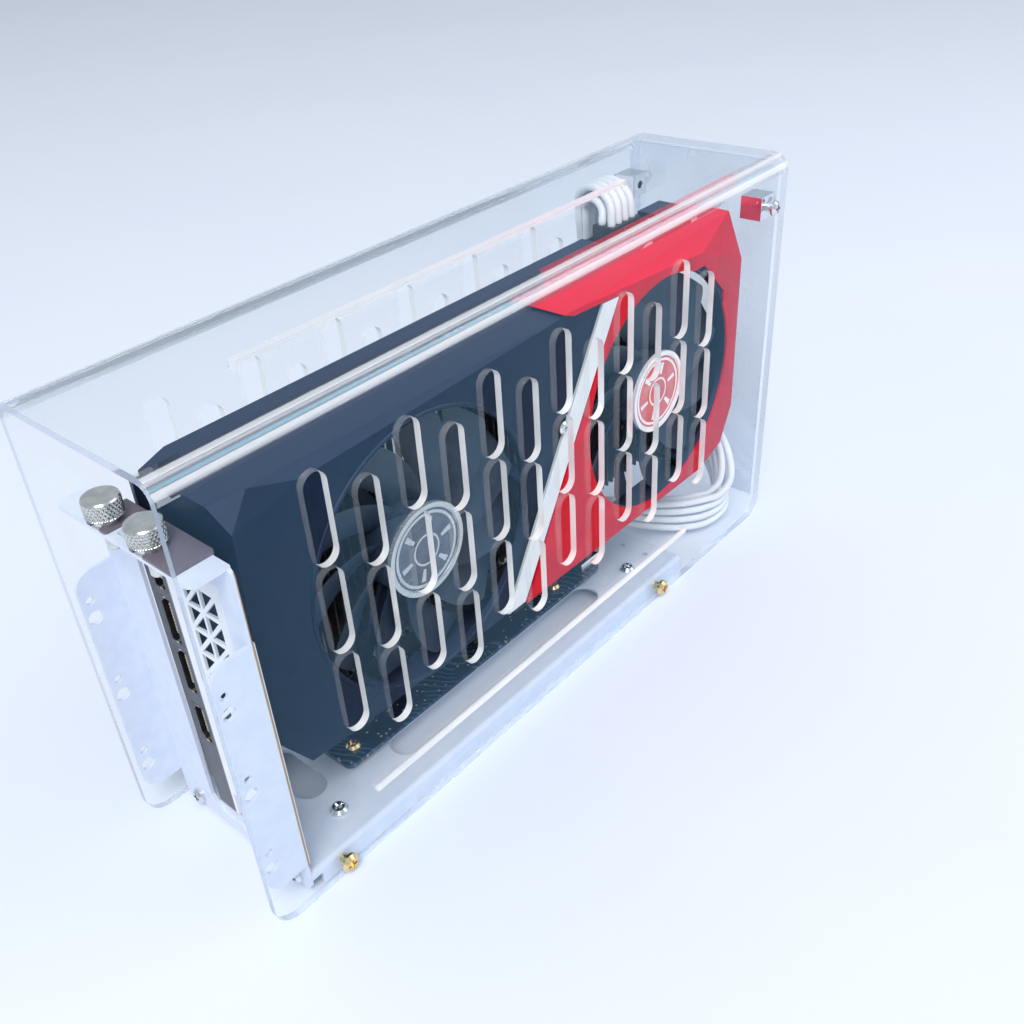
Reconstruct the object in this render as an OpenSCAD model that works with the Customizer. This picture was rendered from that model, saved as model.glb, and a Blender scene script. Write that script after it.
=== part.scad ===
// External graphics dock: a clear bent cover over a white tray, with the seated graphics card.
// Distances run from the I/O end (x), the fan side (y) and the desk (z), in millimetres.

/* [Clear cover] */
// Length of the dock, I/O end to rear end
dock_l = 282; // [280:1:284]
// Width over both clear walls
dock_w = 72; // [71.8:0.1:72.4]
// Height of the cover's top
dock_h = 161; // [160:1:164]
// Thickness of the clear sheet
sheet_t = 2.5; // [2.4:0.1:2.6]
// Outer radius of the two long bends
bend_r = 6.5; // [5:0.5:8]
// Radius of the lower corners of both walls
corner_r = 8.5; // [6:0.5:9]
// Distance from the desk to the sheet metal and the clear sheet
lift = 0.6; // [0.5:0.1:1]

/* [Cooling slots] */
// Columns of slots in each wall
slot_cols = 12; // [8:1:12]
// Rows of slots in each column
slot_rows = 3; // [1:1:3]
// Width of one slot
slot_w = 8; // [6:0.5:9]
// Height of one slot, end to end
slot_len = 29; // [24:1:29]
// First column's distance from the I/O end
slot_x = 42.7; // [40:0.1:44]
// Distance between columns
slot_pitch_x = 16.9; // [15:0.1:17]
// Distance between rows
slot_pitch_z = 30.4; // [30:0.1:31]
// Centre height of the top slot in the first column
slot_z = 127.7; // [125:0.1:128]
// How much lower every second column sits
slot_drop = 9.7; // [8:0.1:11]

/* [Tray and front plate] */
// Thickness of the folded sheet metal
metal_t = 1.2; // [1:0.1:1.2]
// Height of the tray's top
tray_top = 8.5; // [8:0.1:8.5]
// Length of the tray
tray_l = 206; // [204:1:207]
// Distance from the I/O end to the front plate's face
plate_x = 15; // [14.8:0.1:15]
// Height of the shelf that carries the card's bracket
shelf_top = 127.7; // [127:0.1:128]

/* [Graphics card] */
// Highest point of the shroud
shroud_top = 141; // [140:1:142]
// Distance from the near wall's outer face to the shroud's face
shroud_near = 7.6; // [7:0.1:8]
// Radius of the two fan openings
fan_hole_r = 45.5; // [44:0.5:45.5]
// Radius over the blade tips
fan_r = 44.3; // [42:0.1:44.3]
// Blades on each fan
fan_blades = 11; // [7:1:13]
// Cooling fins in the stack
fin_count = 66; // [20:1:70]

/* [Power cable] */
// Diameter of one white wire
wire_d = 3; // [2.4:0.1:3]
// Diameter of the gathered bundle
bundle_d = 8.5; // [7:0.5:9]

/* [Hidden] */
$fn = 48;
inner_y0 = sheet_t;
inner_y1 = dock_w - sheet_t;
mid_y = dock_w / 2;
fit = 0.2;
over = 1;

// Folded metal stands just inside the clear walls
metal_y0 = inner_y0 + fit;
metal_y1 = inner_y1 - fit;
fold_r = 1.8;
plate_back = plate_x + metal_t;
tray_x0 = plate_back;
tray_x1 = tray_x0 + tray_l;

// Card planes, measured across the dock
pcb_y0 = 48.5;
pcb_t = 1.6;
pcb_y1 = pcb_y0 + pcb_t;
back_y0 = 51.6;
back_t = 1.2;
card_z0 = 24.9;
finger_z0 = 16.7;
finger_x0 = 67.9;
finger_x1 = 153.1;
key_x0 = 79.6;
key_w = 1.9;

// Dock board and slot
board_z0 = 13;
board_t = 1.6;
board_z1 = board_z0 + board_t;
board_x0 = 50;
board_x1 = 191;
board_y0 = 21;
board_y1 = 60;
board_hole_x = [57.4, 167.2];
board_hole_y = [27.3, 56.5];
slot_mid_y = pcb_y0 + pcb_t / 2;
socket_x0 = 66;
socket_x1 = 155;
socket_h = 10;
latch_pin = [161.5, board_z1 + 4];
inlet_at = [38.6, board_z1 + 4.9];
out_mid = [49, board_z1 + 4.7];

// Fans
fan_z = 89.5;
fan_x = [85.5, 211];
hub_r = 16;
shaft_r = 1.5;
rotor_y0 = 9.8;
rotor_y1 = 20;

// Bracket and thumbscrews
bracket_x0 = plate_back + 0.1;
bracket_t = 0.9;
bracket_y0 = 12.5;
bracket_y1 = 51.5;
thumb_x = 8.2;
thumb_y = [46.6, 26.3];
plate_screw_y = [9, 60.5];
port_y = 45.2;
port_z = [109.5, 89.3, 69.6, 47.6];

// Screw places
cover_screw_x = [28.6, 203.6];
cover_screw_z = 4.8;
block_s = 9;
head_clear = 2.2;
panel_x1 = dock_l - head_clear;
panel_x0 = panel_x1 - sheet_t;
block_x = panel_x0 - block_s / 2;
block_z = 143;
foot_x = [38.7, 201];
foot_y = [15, dock_w - 15];

// Placing helpers

// Moves parts measured from the I/O end and the near wall onto the dock's own axes
module in_frame() translate([-dock_l / 2, -dock_w / 2, 0]) children();

// Extrudes an (x, z) outline across the dock
module across(y0, y1) translate([0, y1, 0]) rotate([90, 0, 0]) linear_extrude(y1 - y0) children();

// Extrudes a (y, z) outline along the dock
module along(x0, x1) translate([x0, 0, 0]) rotate([90, 0, 90]) linear_extrude(x1 - x0) children();

// Extrudes an (x, y) outline upwards
module upright(z0, z1) translate([0, 0, z0]) linear_extrude(z1 - z0) children();

// Flat shapes

module box2d(x0, y0, x1, y1) translate([x0, y0]) square([x1 - x0, y1 - y0]);

module slot2d(length, width) {
    square([length - width, width], center = true);
    for (s = [-1, 1]) translate([s * (length - width) / 2, 0]) circle(d = width);
}

module round_box2d(x0, y0, x1, y1, r) {
    box2d(x0 + r, y0, x1 - r, y1);
    box2d(x0, y0 + r, x1, y1 - r);
    for (x = [x0 + r, x1 - r], y = [y0 + r, y1 - r]) translate([x, y]) circle(r);
}

// Inverted U outline with round shoulders; inset walks inwards by the sheet's thickness
module folded2d(y0, y1, top, r, inset) {
    box2d(y0 + inset, -over, y1 - inset, top - r);
    box2d(y0 + r, -over, y1 - r, top - inset);
    for (y = [y0 + r, y1 - r]) translate([y, top - r]) circle(r - inset);
}

module folded_sheet(y0, y1, z0, top, r, t, x0, x1) along(x0, x1) difference() {
    folded2d(y0, y1, top, r, 0);
    folded2d(y0, y1, top, r, t);
    box2d(y0 - over, -2 * over, y1 + over, z0);
}

// What is left outside a quarter round at a lower corner
module corner_scrap2d(r) difference() {
    box2d(-over, -over, r, r);
    translate([r, r]) circle(r);
}

// Screws

// Pan head on +Z with a cross recess, shank below the origin
module pan_screw(head_d, head_h, shank_d, shank_l) {
    difference() {
        rotate_extrude() polygon([
            [0, 0], [head_d / 2, 0], [head_d / 2, head_h * 0.45],
            [head_d * 0.34, head_h], [0, head_h]
        ]);
        for (a = [0, 90]) rotate(a)
            translate([-head_d * 0.28, -head_d * 0.07, head_h * 0.5])
            cube([head_d * 0.56, head_d * 0.14, head_h]);
    }
    translate([0, 0, -shank_l]) cylinder(h = shank_l, d = shank_d);
}

// Clear cover

module wall_cutouts() {
    for (c = [0 : slot_cols - 1], r = [0 : slot_rows - 1])
        translate([slot_x + c * slot_pitch_x, slot_z - (c % 2) * slot_drop - r * slot_pitch_z])
        rotate(90) slot2d(slot_len, slot_w);
    translate([133, 23.8]) slot2d(177.3, 2.5);
    for (x = cover_screw_x) translate([x, cover_screw_z]) circle(d = 3.4);
    translate([block_x, block_z]) circle(d = 3.4);
    translate([0, lift]) corner_scrap2d(corner_r);
    translate([dock_l, lift]) mirror([1, 0]) corner_scrap2d(corner_r);
}

module acrylic_cover() color([0.85, 0.93, 1, 0.35]) difference() {
    folded_sheet(0, dock_w, lift, dock_h, bend_r, sheet_t, 0, dock_l);
    across(-over, dock_w + over) wall_cutouts();
    upright(dock_h - sheet_t - over, dock_h + over) {
        translate([137.5, mid_y]) slot2d(179, 2.5);
        translate([273, mid_y]) circle(d = 3);
    }
}

// End panel inside the rear edge, with a round-cornered cable way at the desk
module rear_panel() color([0.85, 0.93, 1, 0.35]) difference() {
    along(panel_x0, panel_x1) difference() {
        folded2d(inner_y0 + 0.1, inner_y1 - 0.1, dock_h - sheet_t - 0.1, bend_r - sheet_t, 0);
        box2d(-over, -2 * over, dock_w, corner_r + lift);
        round_box2d(16, -20, dock_w - 16, 34, 5);
        for (s = [-1, 1]) translate([mid_y + s * (mid_y - inner_y0 - block_s / 2), block_z]) circle(d = 3.4);
    }
}

module corner_block_at(y0) difference() {
    translate([block_x - block_s / 2, y0, block_z - block_s / 2]) cube(block_s);
    translate([block_x, y0 - over, block_z]) rotate([-90, 0, 0]) cylinder(h = block_s + 2 * over, d = 3);
    translate([block_x, y0 + block_s / 2, block_z]) rotate([0, 90, 0]) cylinder(h = block_s, d = 3);
}

module corner_blocks() color("silver") {
    corner_block_at(inner_y0);
    corner_block_at(inner_y1 - block_s);
}

module corner_block_screws() color("silver") {
    translate([block_x, 0, block_z]) rotate([90, 0, 0]) pan_screw(5.6, 2, 3, 5.5);
    translate([block_x, dock_w, block_z]) rotate([-90, 0, 0]) pan_screw(5.6, 2, 3, 5.5);
    for (s = [-1, 1]) translate([panel_x1, mid_y + s * (mid_y - inner_y0 - block_s / 2), block_z])
        rotate([0, 90, 0]) pan_screw(5.6, 2, 3, 4.2);
}

module cover_screws() color("goldenrod") for (x = cover_screw_x) {
    translate([x, 0, cover_screw_z]) rotate([90, 0, 0]) pan_screw(6.4, 2.1, 3, 5.5);
    translate([x, dock_w, cover_screw_z]) rotate([-90, 0, 0]) pan_screw(6.4, 2.1, 3, 5.5);
}

// Tray

module tray_holes2d() {
    for (x = foot_x, y = foot_y) translate([x, y]) circle(d = 3.2);
    for (x = board_hole_x, y = board_hole_y) translate([x, y]) circle(d = 3.2);
    for (y = [19, dock_w - 19]) translate([125, y]) slot2d(114, 12);
    translate([39.5, mid_y + 3]) rotate(90) slot2d(28, 12);
    for (p = [[214, 27], [214.5, 15.5]]) translate(p) circle(d = 2.5);
}

module base_tray() color("white") difference() {
    union() {
        folded_sheet(metal_y0, metal_y1, lift, tray_top, fold_r, metal_t, tray_x0, tray_x1);
        along(tray_x0, tray_x0 + metal_t) box2d(metal_y0 + 3, lift, metal_y1 - 3, tray_top);
    }
    upright(tray_top - 2 * metal_t, tray_top + over) tray_holes2d();
    for (y = [-over, metal_y1 - 3]) translate([tray_x0 - over, y, -over])
        cube([over + 4, 3 + sheet_t + over + fit, tray_top - 2]);
    across(-over, dock_w + over) for (x = cover_screw_x) translate([x, cover_screw_z]) circle(d = 3);
    along(tray_x0 - over, tray_x0 + 2 * metal_t) for (y = plate_screw_y) translate([y, 5]) circle(d = 3.1);
}

module rubber_feet() color("dimgray") for (x = foot_x, y = foot_y) translate([x, y, 0])
    rotate_extrude() polygon([
        [1.2, 0.8], [2.6, 0.8], [2.6, 0], [4.9, 0], [5.5, 0.7],
        [5, tray_top - metal_t], [1.2, tray_top - metal_t]
    ]);

module tray_screws() color("silver") for (x = foot_x, y = foot_y)
    translate([x, y, tray_top]) pan_screw(6.2, 2, 2.3, 6);

// Front plate, with side flanges and a shelf folded forwards

flange_z = [13.5, 102.7];
flange_x = 1.6;
flange_r = 6;
flange_hole_z = [30.6, 61.8, 92.8];
flange_hole_x = 4.6;
shelf_x = 4.2;
window = [11, 6, 52, 118];

module flange2d() difference() {
    union() {
        box2d(flange_x + flange_r, flange_z[0], plate_x + fold_r, flange_z[1]);
        box2d(flange_x, flange_z[0] + flange_r, plate_x, flange_z[1] - flange_r);
        for (z = [flange_z[0] + flange_r, flange_z[1] - flange_r]) translate([flange_x + flange_r, z])
            circle(flange_r);
    }
    for (z = flange_hole_z) {
        translate([flange_hole_x, z]) circle(d = 2.6);
        translate([flange_hole_x, z - 6.2]) circle(d = 4.6);
    }
}

module plate2d() difference() {
    round_box2d(metal_y0, lift + 1, metal_y1, shelf_top - 0.4, 3);
    difference() {
        box2d(window[0], window[1], window[2], window[3]);
        translate([window[2], window[1]]) rotate(45) square(7, center = true);
    }
    for (y = plate_screw_y) translate([y, 5]) circle(d = 3.2);
}

module shelf2d() difference() {
    union() {
        round_box2d(shelf_x, metal_y0 + 1.3, plate_back, metal_y1 - 1.3, 3);
        box2d(plate_x - 6, metal_y0 + 1.3, plate_back, metal_y1 - 1.3);
    }
    for (y = [[14, 20.5], [33, 40.3], [53.2, 58]]) round_box2d(6.6, y[0], 13.6, y[1], 1);
    for (y = thumb_y) translate([thumb_x, y]) circle(r = 2);
}

module front_plate() color("white") {
    along(plate_x, plate_back) plate2d();
    across(metal_y0, metal_y0 + metal_t) flange2d();
    across(metal_y1 - metal_t, metal_y1) flange2d();
    upright(shelf_top - metal_t, shelf_top) shelf2d();
}

module front_plate_screws() color("silver") for (y = plate_screw_y)
    translate([plate_x, y, 5]) rotate([0, -90, 0]) pan_screw(5.6, 1.9, 3, 4);

// Knurled thumbscrew, head up, seated on the bracket's tab
module thumbscrew(y) color("silver") translate([thumb_x, y, shelf_top + bracket_t]) {
    rotate_extrude() polygon([
        [0, 0], [3.7, 0], [3.7, 1.6], [4.9, 1.6], [5.35, 2.1], [5.35, 7.2], [4.9, 7.8], [0, 7.8]
    ]);
    translate([0, 0, -9]) cylinder(h = 9, r = 1.95);
}

module thumbscrew_far() thumbscrew(thumb_y[0]);
module thumbscrew_near() thumbscrew(thumb_y[1]);

// Dock board

module board_standoffs() color("gold") for (x = board_hole_x, y = board_hole_y)
    translate([x, y, tray_top]) difference() {
        cylinder(h = board_z0 - tray_top, d = 5.4);
        translate([0, 0, -over]) cylinder(h = 9, d = 3);
    }

module board_screws() color("goldenrod") for (x = board_hole_x, y = board_hole_y)
    translate([x, y, board_z1]) pan_screw(5.2, 1.8, 3, 7.6);

module dock_board() color([0.05, 0.09, 0.2]) difference() {
    upright(board_z0, board_z1) round_box2d(board_x0, board_y0, board_x1, board_y1, 3);
    for (x = board_hole_x, y = board_hole_y) translate([x, y, 0]) cylinder(h = 40, d = 3.2);
}

module pcie_slot() color([0.08, 0.08, 0.1]) difference() {
    union() {
        upright(board_z1, board_z1 + socket_h)
            box2d(socket_x0, slot_mid_y - 3.7, socket_x1, slot_mid_y + 3.7);
        for (s = [-1, 1]) across(slot_mid_y + s * 3 - 0.7, slot_mid_y + s * 3 + 0.7)
            polygon([
                [socket_x1 - over, board_z1], [164.8, board_z1], [164.8, board_z1 + 5],
                [162, board_z1 + 7.5], [socket_x1 - over, board_z1 + 7.5]
            ]);
    }
    upright(finger_z0 - 0.3, 60) {
        box2d(finger_x0 - 0.3, slot_mid_y - 0.95, key_x0 + 0.15, slot_mid_y + 0.95);
        box2d(key_x0 + key_w - 0.15, slot_mid_y - 0.95, finger_x1 + 0.3, slot_mid_y + 0.95);
    }
    across(0, dock_w) translate(latch_pin) circle(r = 1.05);
}

// Card-retaining latch at the end of the slot, on its own pin, with a thumb pad beyond it
module slot_latch() color("white") {
    across(slot_mid_y - 2.15, slot_mid_y + 2.15) {
        translate(latch_pin) circle(r = 2.4);
        polygon([
            [159.2, 19], [159.2, 23.6], [162.6, 24.2], [170.4, 22.6], [171, 21], [165, 18.6], [163, 16.8]
        ]);
    }
    across(slot_mid_y - 3.6, slot_mid_y + 3.6) translate(latch_pin) circle(r = 1);
}

// The round inlet, the plug's socket and the data port all open at the board's rear end
module power_inlet() color([0.1, 0.1, 0.12]) difference() {
    translate([176.5, 33.9, board_z1]) cube([15, 9.5, 9.4]);
    translate([180, inlet_at[0], inlet_at[1]]) rotate([0, 90, 0]) cylinder(h = 20, d = 6.4);
    translate([181, inlet_at[0], inlet_at[1]]) rotate([0, 90, 0]) cylinder(h = 12, d = 5, $fn = 6);
}

module power_output_socket() color([0.1, 0.1, 0.12]) difference() {
    along(178, 191.2) box2d(out_mid[0] - 4.6, board_z1, out_mid[0] + 4.6, out_mid[1] + 4.6);
    along(180, 192) box2d(out_mid[0] - 3.6, out_mid[1] - 3.6, out_mid[0] + 3.6, out_mid[1] + 3.6);
}

module host_port() color("silver") difference() {
    along(180.6, 191.8) round_box2d(23, board_z1, 32.6, board_z1 + 4.6, 0.8);
    along(183, 193) box2d(23.9, board_z1 + 0.9, 31.7, board_z1 + 3.7);
}

module board_chips() color([0.12, 0.12, 0.14]) {
    for (c = [[96, 32, 11, 11, 1.4], [122, 30, 6, 7, 1.1], [138, 33, 5, 5, 1.1], [66, 31, 5, 6, 1.2],
            [77, 34, 4, 4, 0.9]])
        translate([c[0], c[1], board_z1]) cube([c[2], c[3], c[4]]);
}

module board_coils() color([0.35, 0.36, 0.38]) for (x = [148, 157])
    upright(board_z1, board_z1 + 4.2) round_box2d(x - 3.4, 29, x + 3.4, 35.8, 1);

module board_capacitors() color("silver") for (p = [[110, 40], [117, 40], [147, 39.6], [86, 39.5]])
    translate([p[0], p[1], board_z1]) rotate_extrude() polygon([
        [0, 0], [2.9, 0], [2.9, 0.9], [2.5, 1.1], [2.7, 1.3], [2.7, 6.4], [2.4, 6.8], [0, 6.8]
    ]);

// Card

pcb_x = [18.6, 256];
pcb_top = 134;
chip_mid = [118, 84];

module card_pcb() color([0.04, 0.06, 0.12]) difference() {
    across(pcb_y0, pcb_y1) difference() {
        union() {
            box2d(pcb_x[0], card_z0, pcb_x[1], pcb_top);
            box2d(finger_x0, finger_z0, finger_x1, card_z0 + over);
            polygon([
                [156.2, card_z0 + over], [156.2, 20.4], [155.4, 20.4], [155.4, 19], [158.4, 19],
                [158.4, card_z0 + over]
            ]);
        }
        box2d(key_x0, finger_z0 - over, key_x0 + key_w, card_z0);
    }
    across(0, dock_w) backplate_screws2d(1.4);
}

// Four screws round the chip and six round the board's rim
chip_screw_d = 27;
rim_screws = [[60, 40], [60, 126], [150, 32], [165, 126], [250, 34], [250, 118]];

module backplate_screws2d(r) {
    for (sx = [-1, 1], sz = [-1, 1]) translate(chip_mid + [sx, sz] * chip_screw_d) circle(r);
    for (p = rim_screws) translate(p) circle(r);
}

module mesh_cell2d(w, h, bar) {
    polygon([[bar / 2, bar * 1.2], [w - bar * 1.2, bar / 2], [bar / 2, h - bar * 1.4]]);
    polygon([[w - bar / 2, bar * 1.4], [w - bar / 2, h - bar / 2], [bar * 1.4, h - bar / 2]]);
}

module bracket_tab2d(y0, y1, screw_y) difference() {
    round_box2d(thumb_x - 4, y0, bracket_x0 + bracket_t, y1, 1.2);
    translate([thumb_x, screw_y]) circle(r = 2.2);
    box2d(0, screw_y - 2.2, thumb_x, screw_y + 2.2);
}

module port_hole2d(z, w, h) translate([port_y, z]) square([h, w], center = true);

module card_bracket() color("white") {
    along(bracket_x0, bracket_x0 + bracket_t) difference() {
        union() {
            box2d(bracket_y0, 20, bracket_y1, shelf_top + bracket_t);
            for (y = [bracket_y0 + 2, bracket_y1 - 12.5]) box2d(y, tray_top + 1, y + 10.5, 21);
        }
        for (i = [0 : 2]) port_hole2d(port_z[i], 17.6, 6.8);
        port_hole2d(port_z[3], 16, 6.8);
        for (c = [0 : 1], r = [0 : 8]) translate([16.5 + c * 8.2, 30 + r * 9]) mesh_cell2d(8.2, 9, 1.1);
    }
    upright(shelf_top, shelf_top + bracket_t) {
        bracket_tab2d(11, 31, thumb_y[1]);
        bracket_tab2d(41.5, bracket_y1, thumb_y[0]);
    }
}

// Outline of a display socket, with its bevelled corner or corners
module port2d(w, h, bevel, both) polygon([
    [-h / 2, -w / 2], [h / 2 - (both ? bevel : 0), -w / 2], [h / 2, -w / 2 + (both ? bevel : 0)],
    [h / 2, w / 2 - bevel], [h / 2 - bevel, w / 2], [-h / 2, w / 2]
]);

module display_port(z, w, bevel, both) translate([0, port_y, z]) {
    difference() {
        along(bracket_x0, bracket_x0 + 17) square([2 * (pcb_y0 - port_y), w + 1.2], center = true);
        along(bracket_x0 - over, bracket_x0 + 9) port2d(w, 4.8, bevel, both);
    }
    along(bracket_x0 + 1, bracket_x0 + 10) square([1.1, w - 5], center = true);
}

module display_ports() color("dimgray") {
    for (i = [0 : 2]) display_port(port_z[i], 16.2, 2.2, false);
    display_port(port_z[3], 14.4, 1.8, true);
}

module gpu_chip() color([0.2, 0.2, 0.22]) {
    across(pcb_y0 - 0.9, pcb_y0) translate(chip_mid) square(34, center = true);
    across(pcb_y0 - 1.5, pcb_y0 - 0.9) translate(chip_mid) square([19, 21], center = true);
}

module memory_chips() color([0.12, 0.12, 0.14]) {
    for (z = [-1, 1], x = [-14, 2]) across(pcb_y0 - 1.2, pcb_y0)
        translate(chip_mid + [x + 6, z * 27]) square([13, 11], center = true);
    for (z = [-9, 7]) across(pcb_y0 - 1.2, pcb_y0)
        translate(chip_mid + [-27.5, z]) square([11, 13], center = true);
}

module card_coils() color([0.35, 0.36, 0.38]) for (i = [0 : 5])
    across(pcb_y0 - 3, pcb_y0) translate([172, 46 + i * 13]) round_box2d(-4, -4, 4, 4, 1);

// Fin stack on its base, drilled for the pipes

fins_x = [36, 246];
fins_z = [47, 133];
fins_y = [24.5, 43];
fin_t = 0.7;
base_y1 = 45;
pipe_r = 3;
pipe_y = 39;
pipe_pairs = [64, 104];
pipe_gap = 8;
pipe_turn_x = 248;

module heatsink_fins() color("silver") difference() {
    union() {
        across(fins_y[1], base_y1) box2d(fins_x[0], fins_z[0], 214, fins_z[1]);
        across(base_y1, pcb_y0 - 1.5) translate(chip_mid) square(42, center = true);
        for (i = [0 : fin_count - 1])
            translate([
                fins_x[0] + i * (fins_x[1] - fins_x[0] - fin_t) / (fin_count - 1),
                fins_y[0],
                fins_z[0]
            ])
            cube([fin_t, fins_y[1] - fins_y[0], fins_z[1] - fins_z[0]]);
        for (z = [fins_z[0], fins_z[1] - fin_t], y = [27, 36])
            translate([fins_x[0], y, z]) cube([fins_x[1] - fins_x[0], 2, fin_t]);
    }
    for (z = pipe_pairs, s = [-1, 1]) translate([0, pipe_y, z + s * pipe_gap])
        rotate([0, 90, 0]) cylinder(h = dock_l, r = pipe_r + 0.02);
    translate([219.5, 35, 116]) cube([40, 20, 30]);
}

// Each pipe runs through the fins, turns beyond them and runs back
module heat_pipes() color([0.72, 0.45, 0.28]) for (z = pipe_pairs) {
    for (s = [-1, 1]) translate([fins_x[0] - 1.5, pipe_y, z + s * pipe_gap])
        rotate([0, 90, 0]) cylinder(h = pipe_turn_x + 1.5 - fins_x[0], r = pipe_r);
    translate([pipe_turn_x, pipe_y, z]) intersection() {
        rotate([90, 0, 0]) rotate_extrude() translate([pipe_gap, 0]) circle(pipe_r);
        translate([0, -10, -20]) cube([20, 20, 40]);
    }
}

// Corners of the faceted shroud: place, and the way each moves as the wall grows
shroud_front = 20;
shroud_rear = 265;
shroud_bottom = 42;
shroud_back = 46;
shroud_corners = [
    [[29, 24, shroud_top], [-0.5, 0, 1]],
    [[29, 10, shroud_top], [-0.4, -1, 1]],
    [[158, shroud_near, shroud_top], [0, -1, 1]],
    [[264, 15, shroud_top], [0.8, -0.8, 1]],
    [[29, shroud_back, shroud_top], [-0.5, -1, 1]],
    [[shroud_rear, shroud_back, shroud_top], [1, -1, 1]],
    [[shroud_front, 16, 138], [-1, 0, 0.5]],
    [[shroud_front, shroud_back, 138], [-1, -1, 0.5]],
    [[21.5, 9, 131], [-1, -1, 0]],
    [[44, shroud_near, 137], [0, -1, 0.5]],
    [[27, shroud_near, 115], [-0.3, -1, 0]],
    [[25, shroud_near, 64], [-0.3, -1, 0]],
    [[48, shroud_near, shroud_bottom + 1.5], [0, -1, -0.7]],
    [[30, 9.5, shroud_bottom + 1], [-0.5, -1, -1]],
    [[shroud_front, 11, 58], [-1, -0.7, 0]],
    [[shroud_front, shroud_back, 58], [-1, -1, 0]],
    [[30, shroud_back, 40], [-0.5, -1, -1]],
    [[240, shroud_near, shroud_bottom], [0, -1, -1]],
    [[240, 20, 38], [0, 0, -1]],
    [[48, 20, 38], [0, 0, -1]],
    [[240, shroud_back, 38], [0, -1, -1]],
    [[48, shroud_back, 38], [0, -1, -1]],
    [[257, 8.5, 46], [0.7, -1, -0.7]],
    [[shroud_rear, 9, 60], [1, -1, 0]],
    [[shroud_rear, shroud_back, 60], [1, -1, 0]],
    [[257, shroud_back, 44], [0.7, -1, -0.7]],
    [[263, shroud_near, 109], [0.3, -1, 0]],
    [[235, shroud_near, 136], [0, -1, 0.5]],
    [[shroud_rear, 9, 124], [1, -1, 0]]
];

// Convex body on the shroud's corners, grown outwards by g
module shroud_body(g) {
    points = [for (c = shroud_corners) c[0] + g * c[1]];
    hull() polyhedron(points, [for (i = [1 : len(points) - 2]) [0, i, i + 1]]);
}

// Three lugs hold each motor plate to posts inside the shroud
lug_r = 3;
lug_y0 = rotor_y1 + 0.6;
lug_reach = 49.5;
lug_turn = [0, 60];
function lug_places(i) = [for (k = [0 : 2]) let(a = lug_turn[i] + 120 * k)
    lug_reach * [cos(a), 0, sin(a)]];

module fan_holes(r) for (x = fan_x)
    translate([x, shroud_back, fan_z]) rotate([90, 0, 0]) cylinder(h = 60, r = r);

module shroud() color([0.09, 0.15, 0.24]) difference() {
    union() {
        difference() {
            shroud_body(0);
            shroud_body(-2);
        }
        for (i = [0, 1], p = lug_places(i)) translate([fan_x[i], 0, fan_z] + p) rotate([-90, 0, 0])
            translate([0, 0, 9]) cylinder(h = lug_y0 - 9, r = lug_r);
    }
    fan_holes(fan_hole_r);
    for (i = [0, 1], p = lug_places(i)) translate([fan_x[i], 14, fan_z] + p) rotate([-90, 0, 0])
        cylinder(h = 20, r = 0.95);
    translate([shroud_front - over, 40.5, 38]) cube([16, 10, 82]);
    translate([55, 22, 30]) cube([180, 30, 14]);
    translate([shroud_rear - 5, 20, 64]) cube([10, 30, 54]);
    translate([214, 34, shroud_top - 6]) cube([36, 14, 12]);
}

// Outline of the red panel as seen from the fan side
red_outline = [
    [127.3, 40], [183.2, 138.4], [158, shroud_top - 1], [134, 150], [270, 150], [270, 40]
];
navy_corner = [[211, 131], [236.5, 131], [251.5, 116], [251.5, 89], [211, 89]];

module red_shroud_panel() color([0.85, 0.08, 0.12]) difference() {
    intersection() {
        shroud_body(1);
        across(0, 30) polygon(red_outline);
    }
    shroud_body(0.02);
    fan_holes(fan_hole_r);
    across(0, 12) polygon(navy_corner);
    translate([shroud_rear - 5, 20, 64]) cube([10, 30, 54]);
}

strip_screw = [150.5, 103];

module diagonal_strip() color("silver") difference() {
    across(shroud_near - 1.2, shroud_near)
        polygon([[117.5, 43.5], [126.8, 43.5], [182.4, 138.1], [173.8, 138.6]]);
    across(0, 12) translate(strip_screw) circle(r = 1.1);
}

module shroud_screws() color("silver")
    translate([strip_screw[0], shroud_near - 1.2, strip_screw[1]])
        rotate([90, 0, 0]) pan_screw(4.6, 1.2, 2, 1.1);

// Fans

// Motor plate on three arms, with the shaft the rotor turns on
module fan_frame(i) color([0.12, 0.12, 0.14]) translate([fan_x[i], 0, fan_z]) {
    across(lug_y0, lug_y0 + 1.8) difference() {
        union() {
            circle(r = 15);
            for (k = [0 : 2]) rotate(lug_turn[i] + 120 * k) {
                box2d(0, -2.2, lug_reach, 2.2);
                translate([lug_reach, 0]) circle(r = lug_r);
            }
        }
        for (k = [0 : 2]) rotate(lug_turn[i] + 120 * k) translate([lug_reach, 0]) circle(r = 1.1);
    }
    translate([0, rotor_y1 + 1, 0]) rotate([90, 0, 0]) cylinder(h = rotor_y1 - rotor_y0 - 0.6, r = shaft_r);
}

module fan_frame_front() fan_frame(0);
module fan_frame_rear() fan_frame(1);

module fan_screws() color("silver") for (i = [0, 1], p = lug_places(i))
    translate([fan_x[i], lug_y0 + 1.8, fan_z] + p) rotate([-90, 0, 0]) pan_screw(4.2, 1.2, 1.9, 5);

// A blade is a grid over radius and chord: it sweeps back and leans as the radius grows
blade_radii = [15, 22, 29, 36, 40, fan_r];
blade_steps = 4;
blade_t = 0.9;

function blade_point(r, k, back) = let(
        u = (r - hub_r) / (fan_r - hub_r),
        angle = -6 + 26 * u + (k / blade_steps - 0.5) * (30 - 7 * u),
        depth = 1.2 + (k / blade_steps) * (6.6 - 1.6 * u) + sin(180 * k / blade_steps) * 0.9)
    [r * cos(angle), r * sin(angle), depth + back * blade_t];

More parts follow.
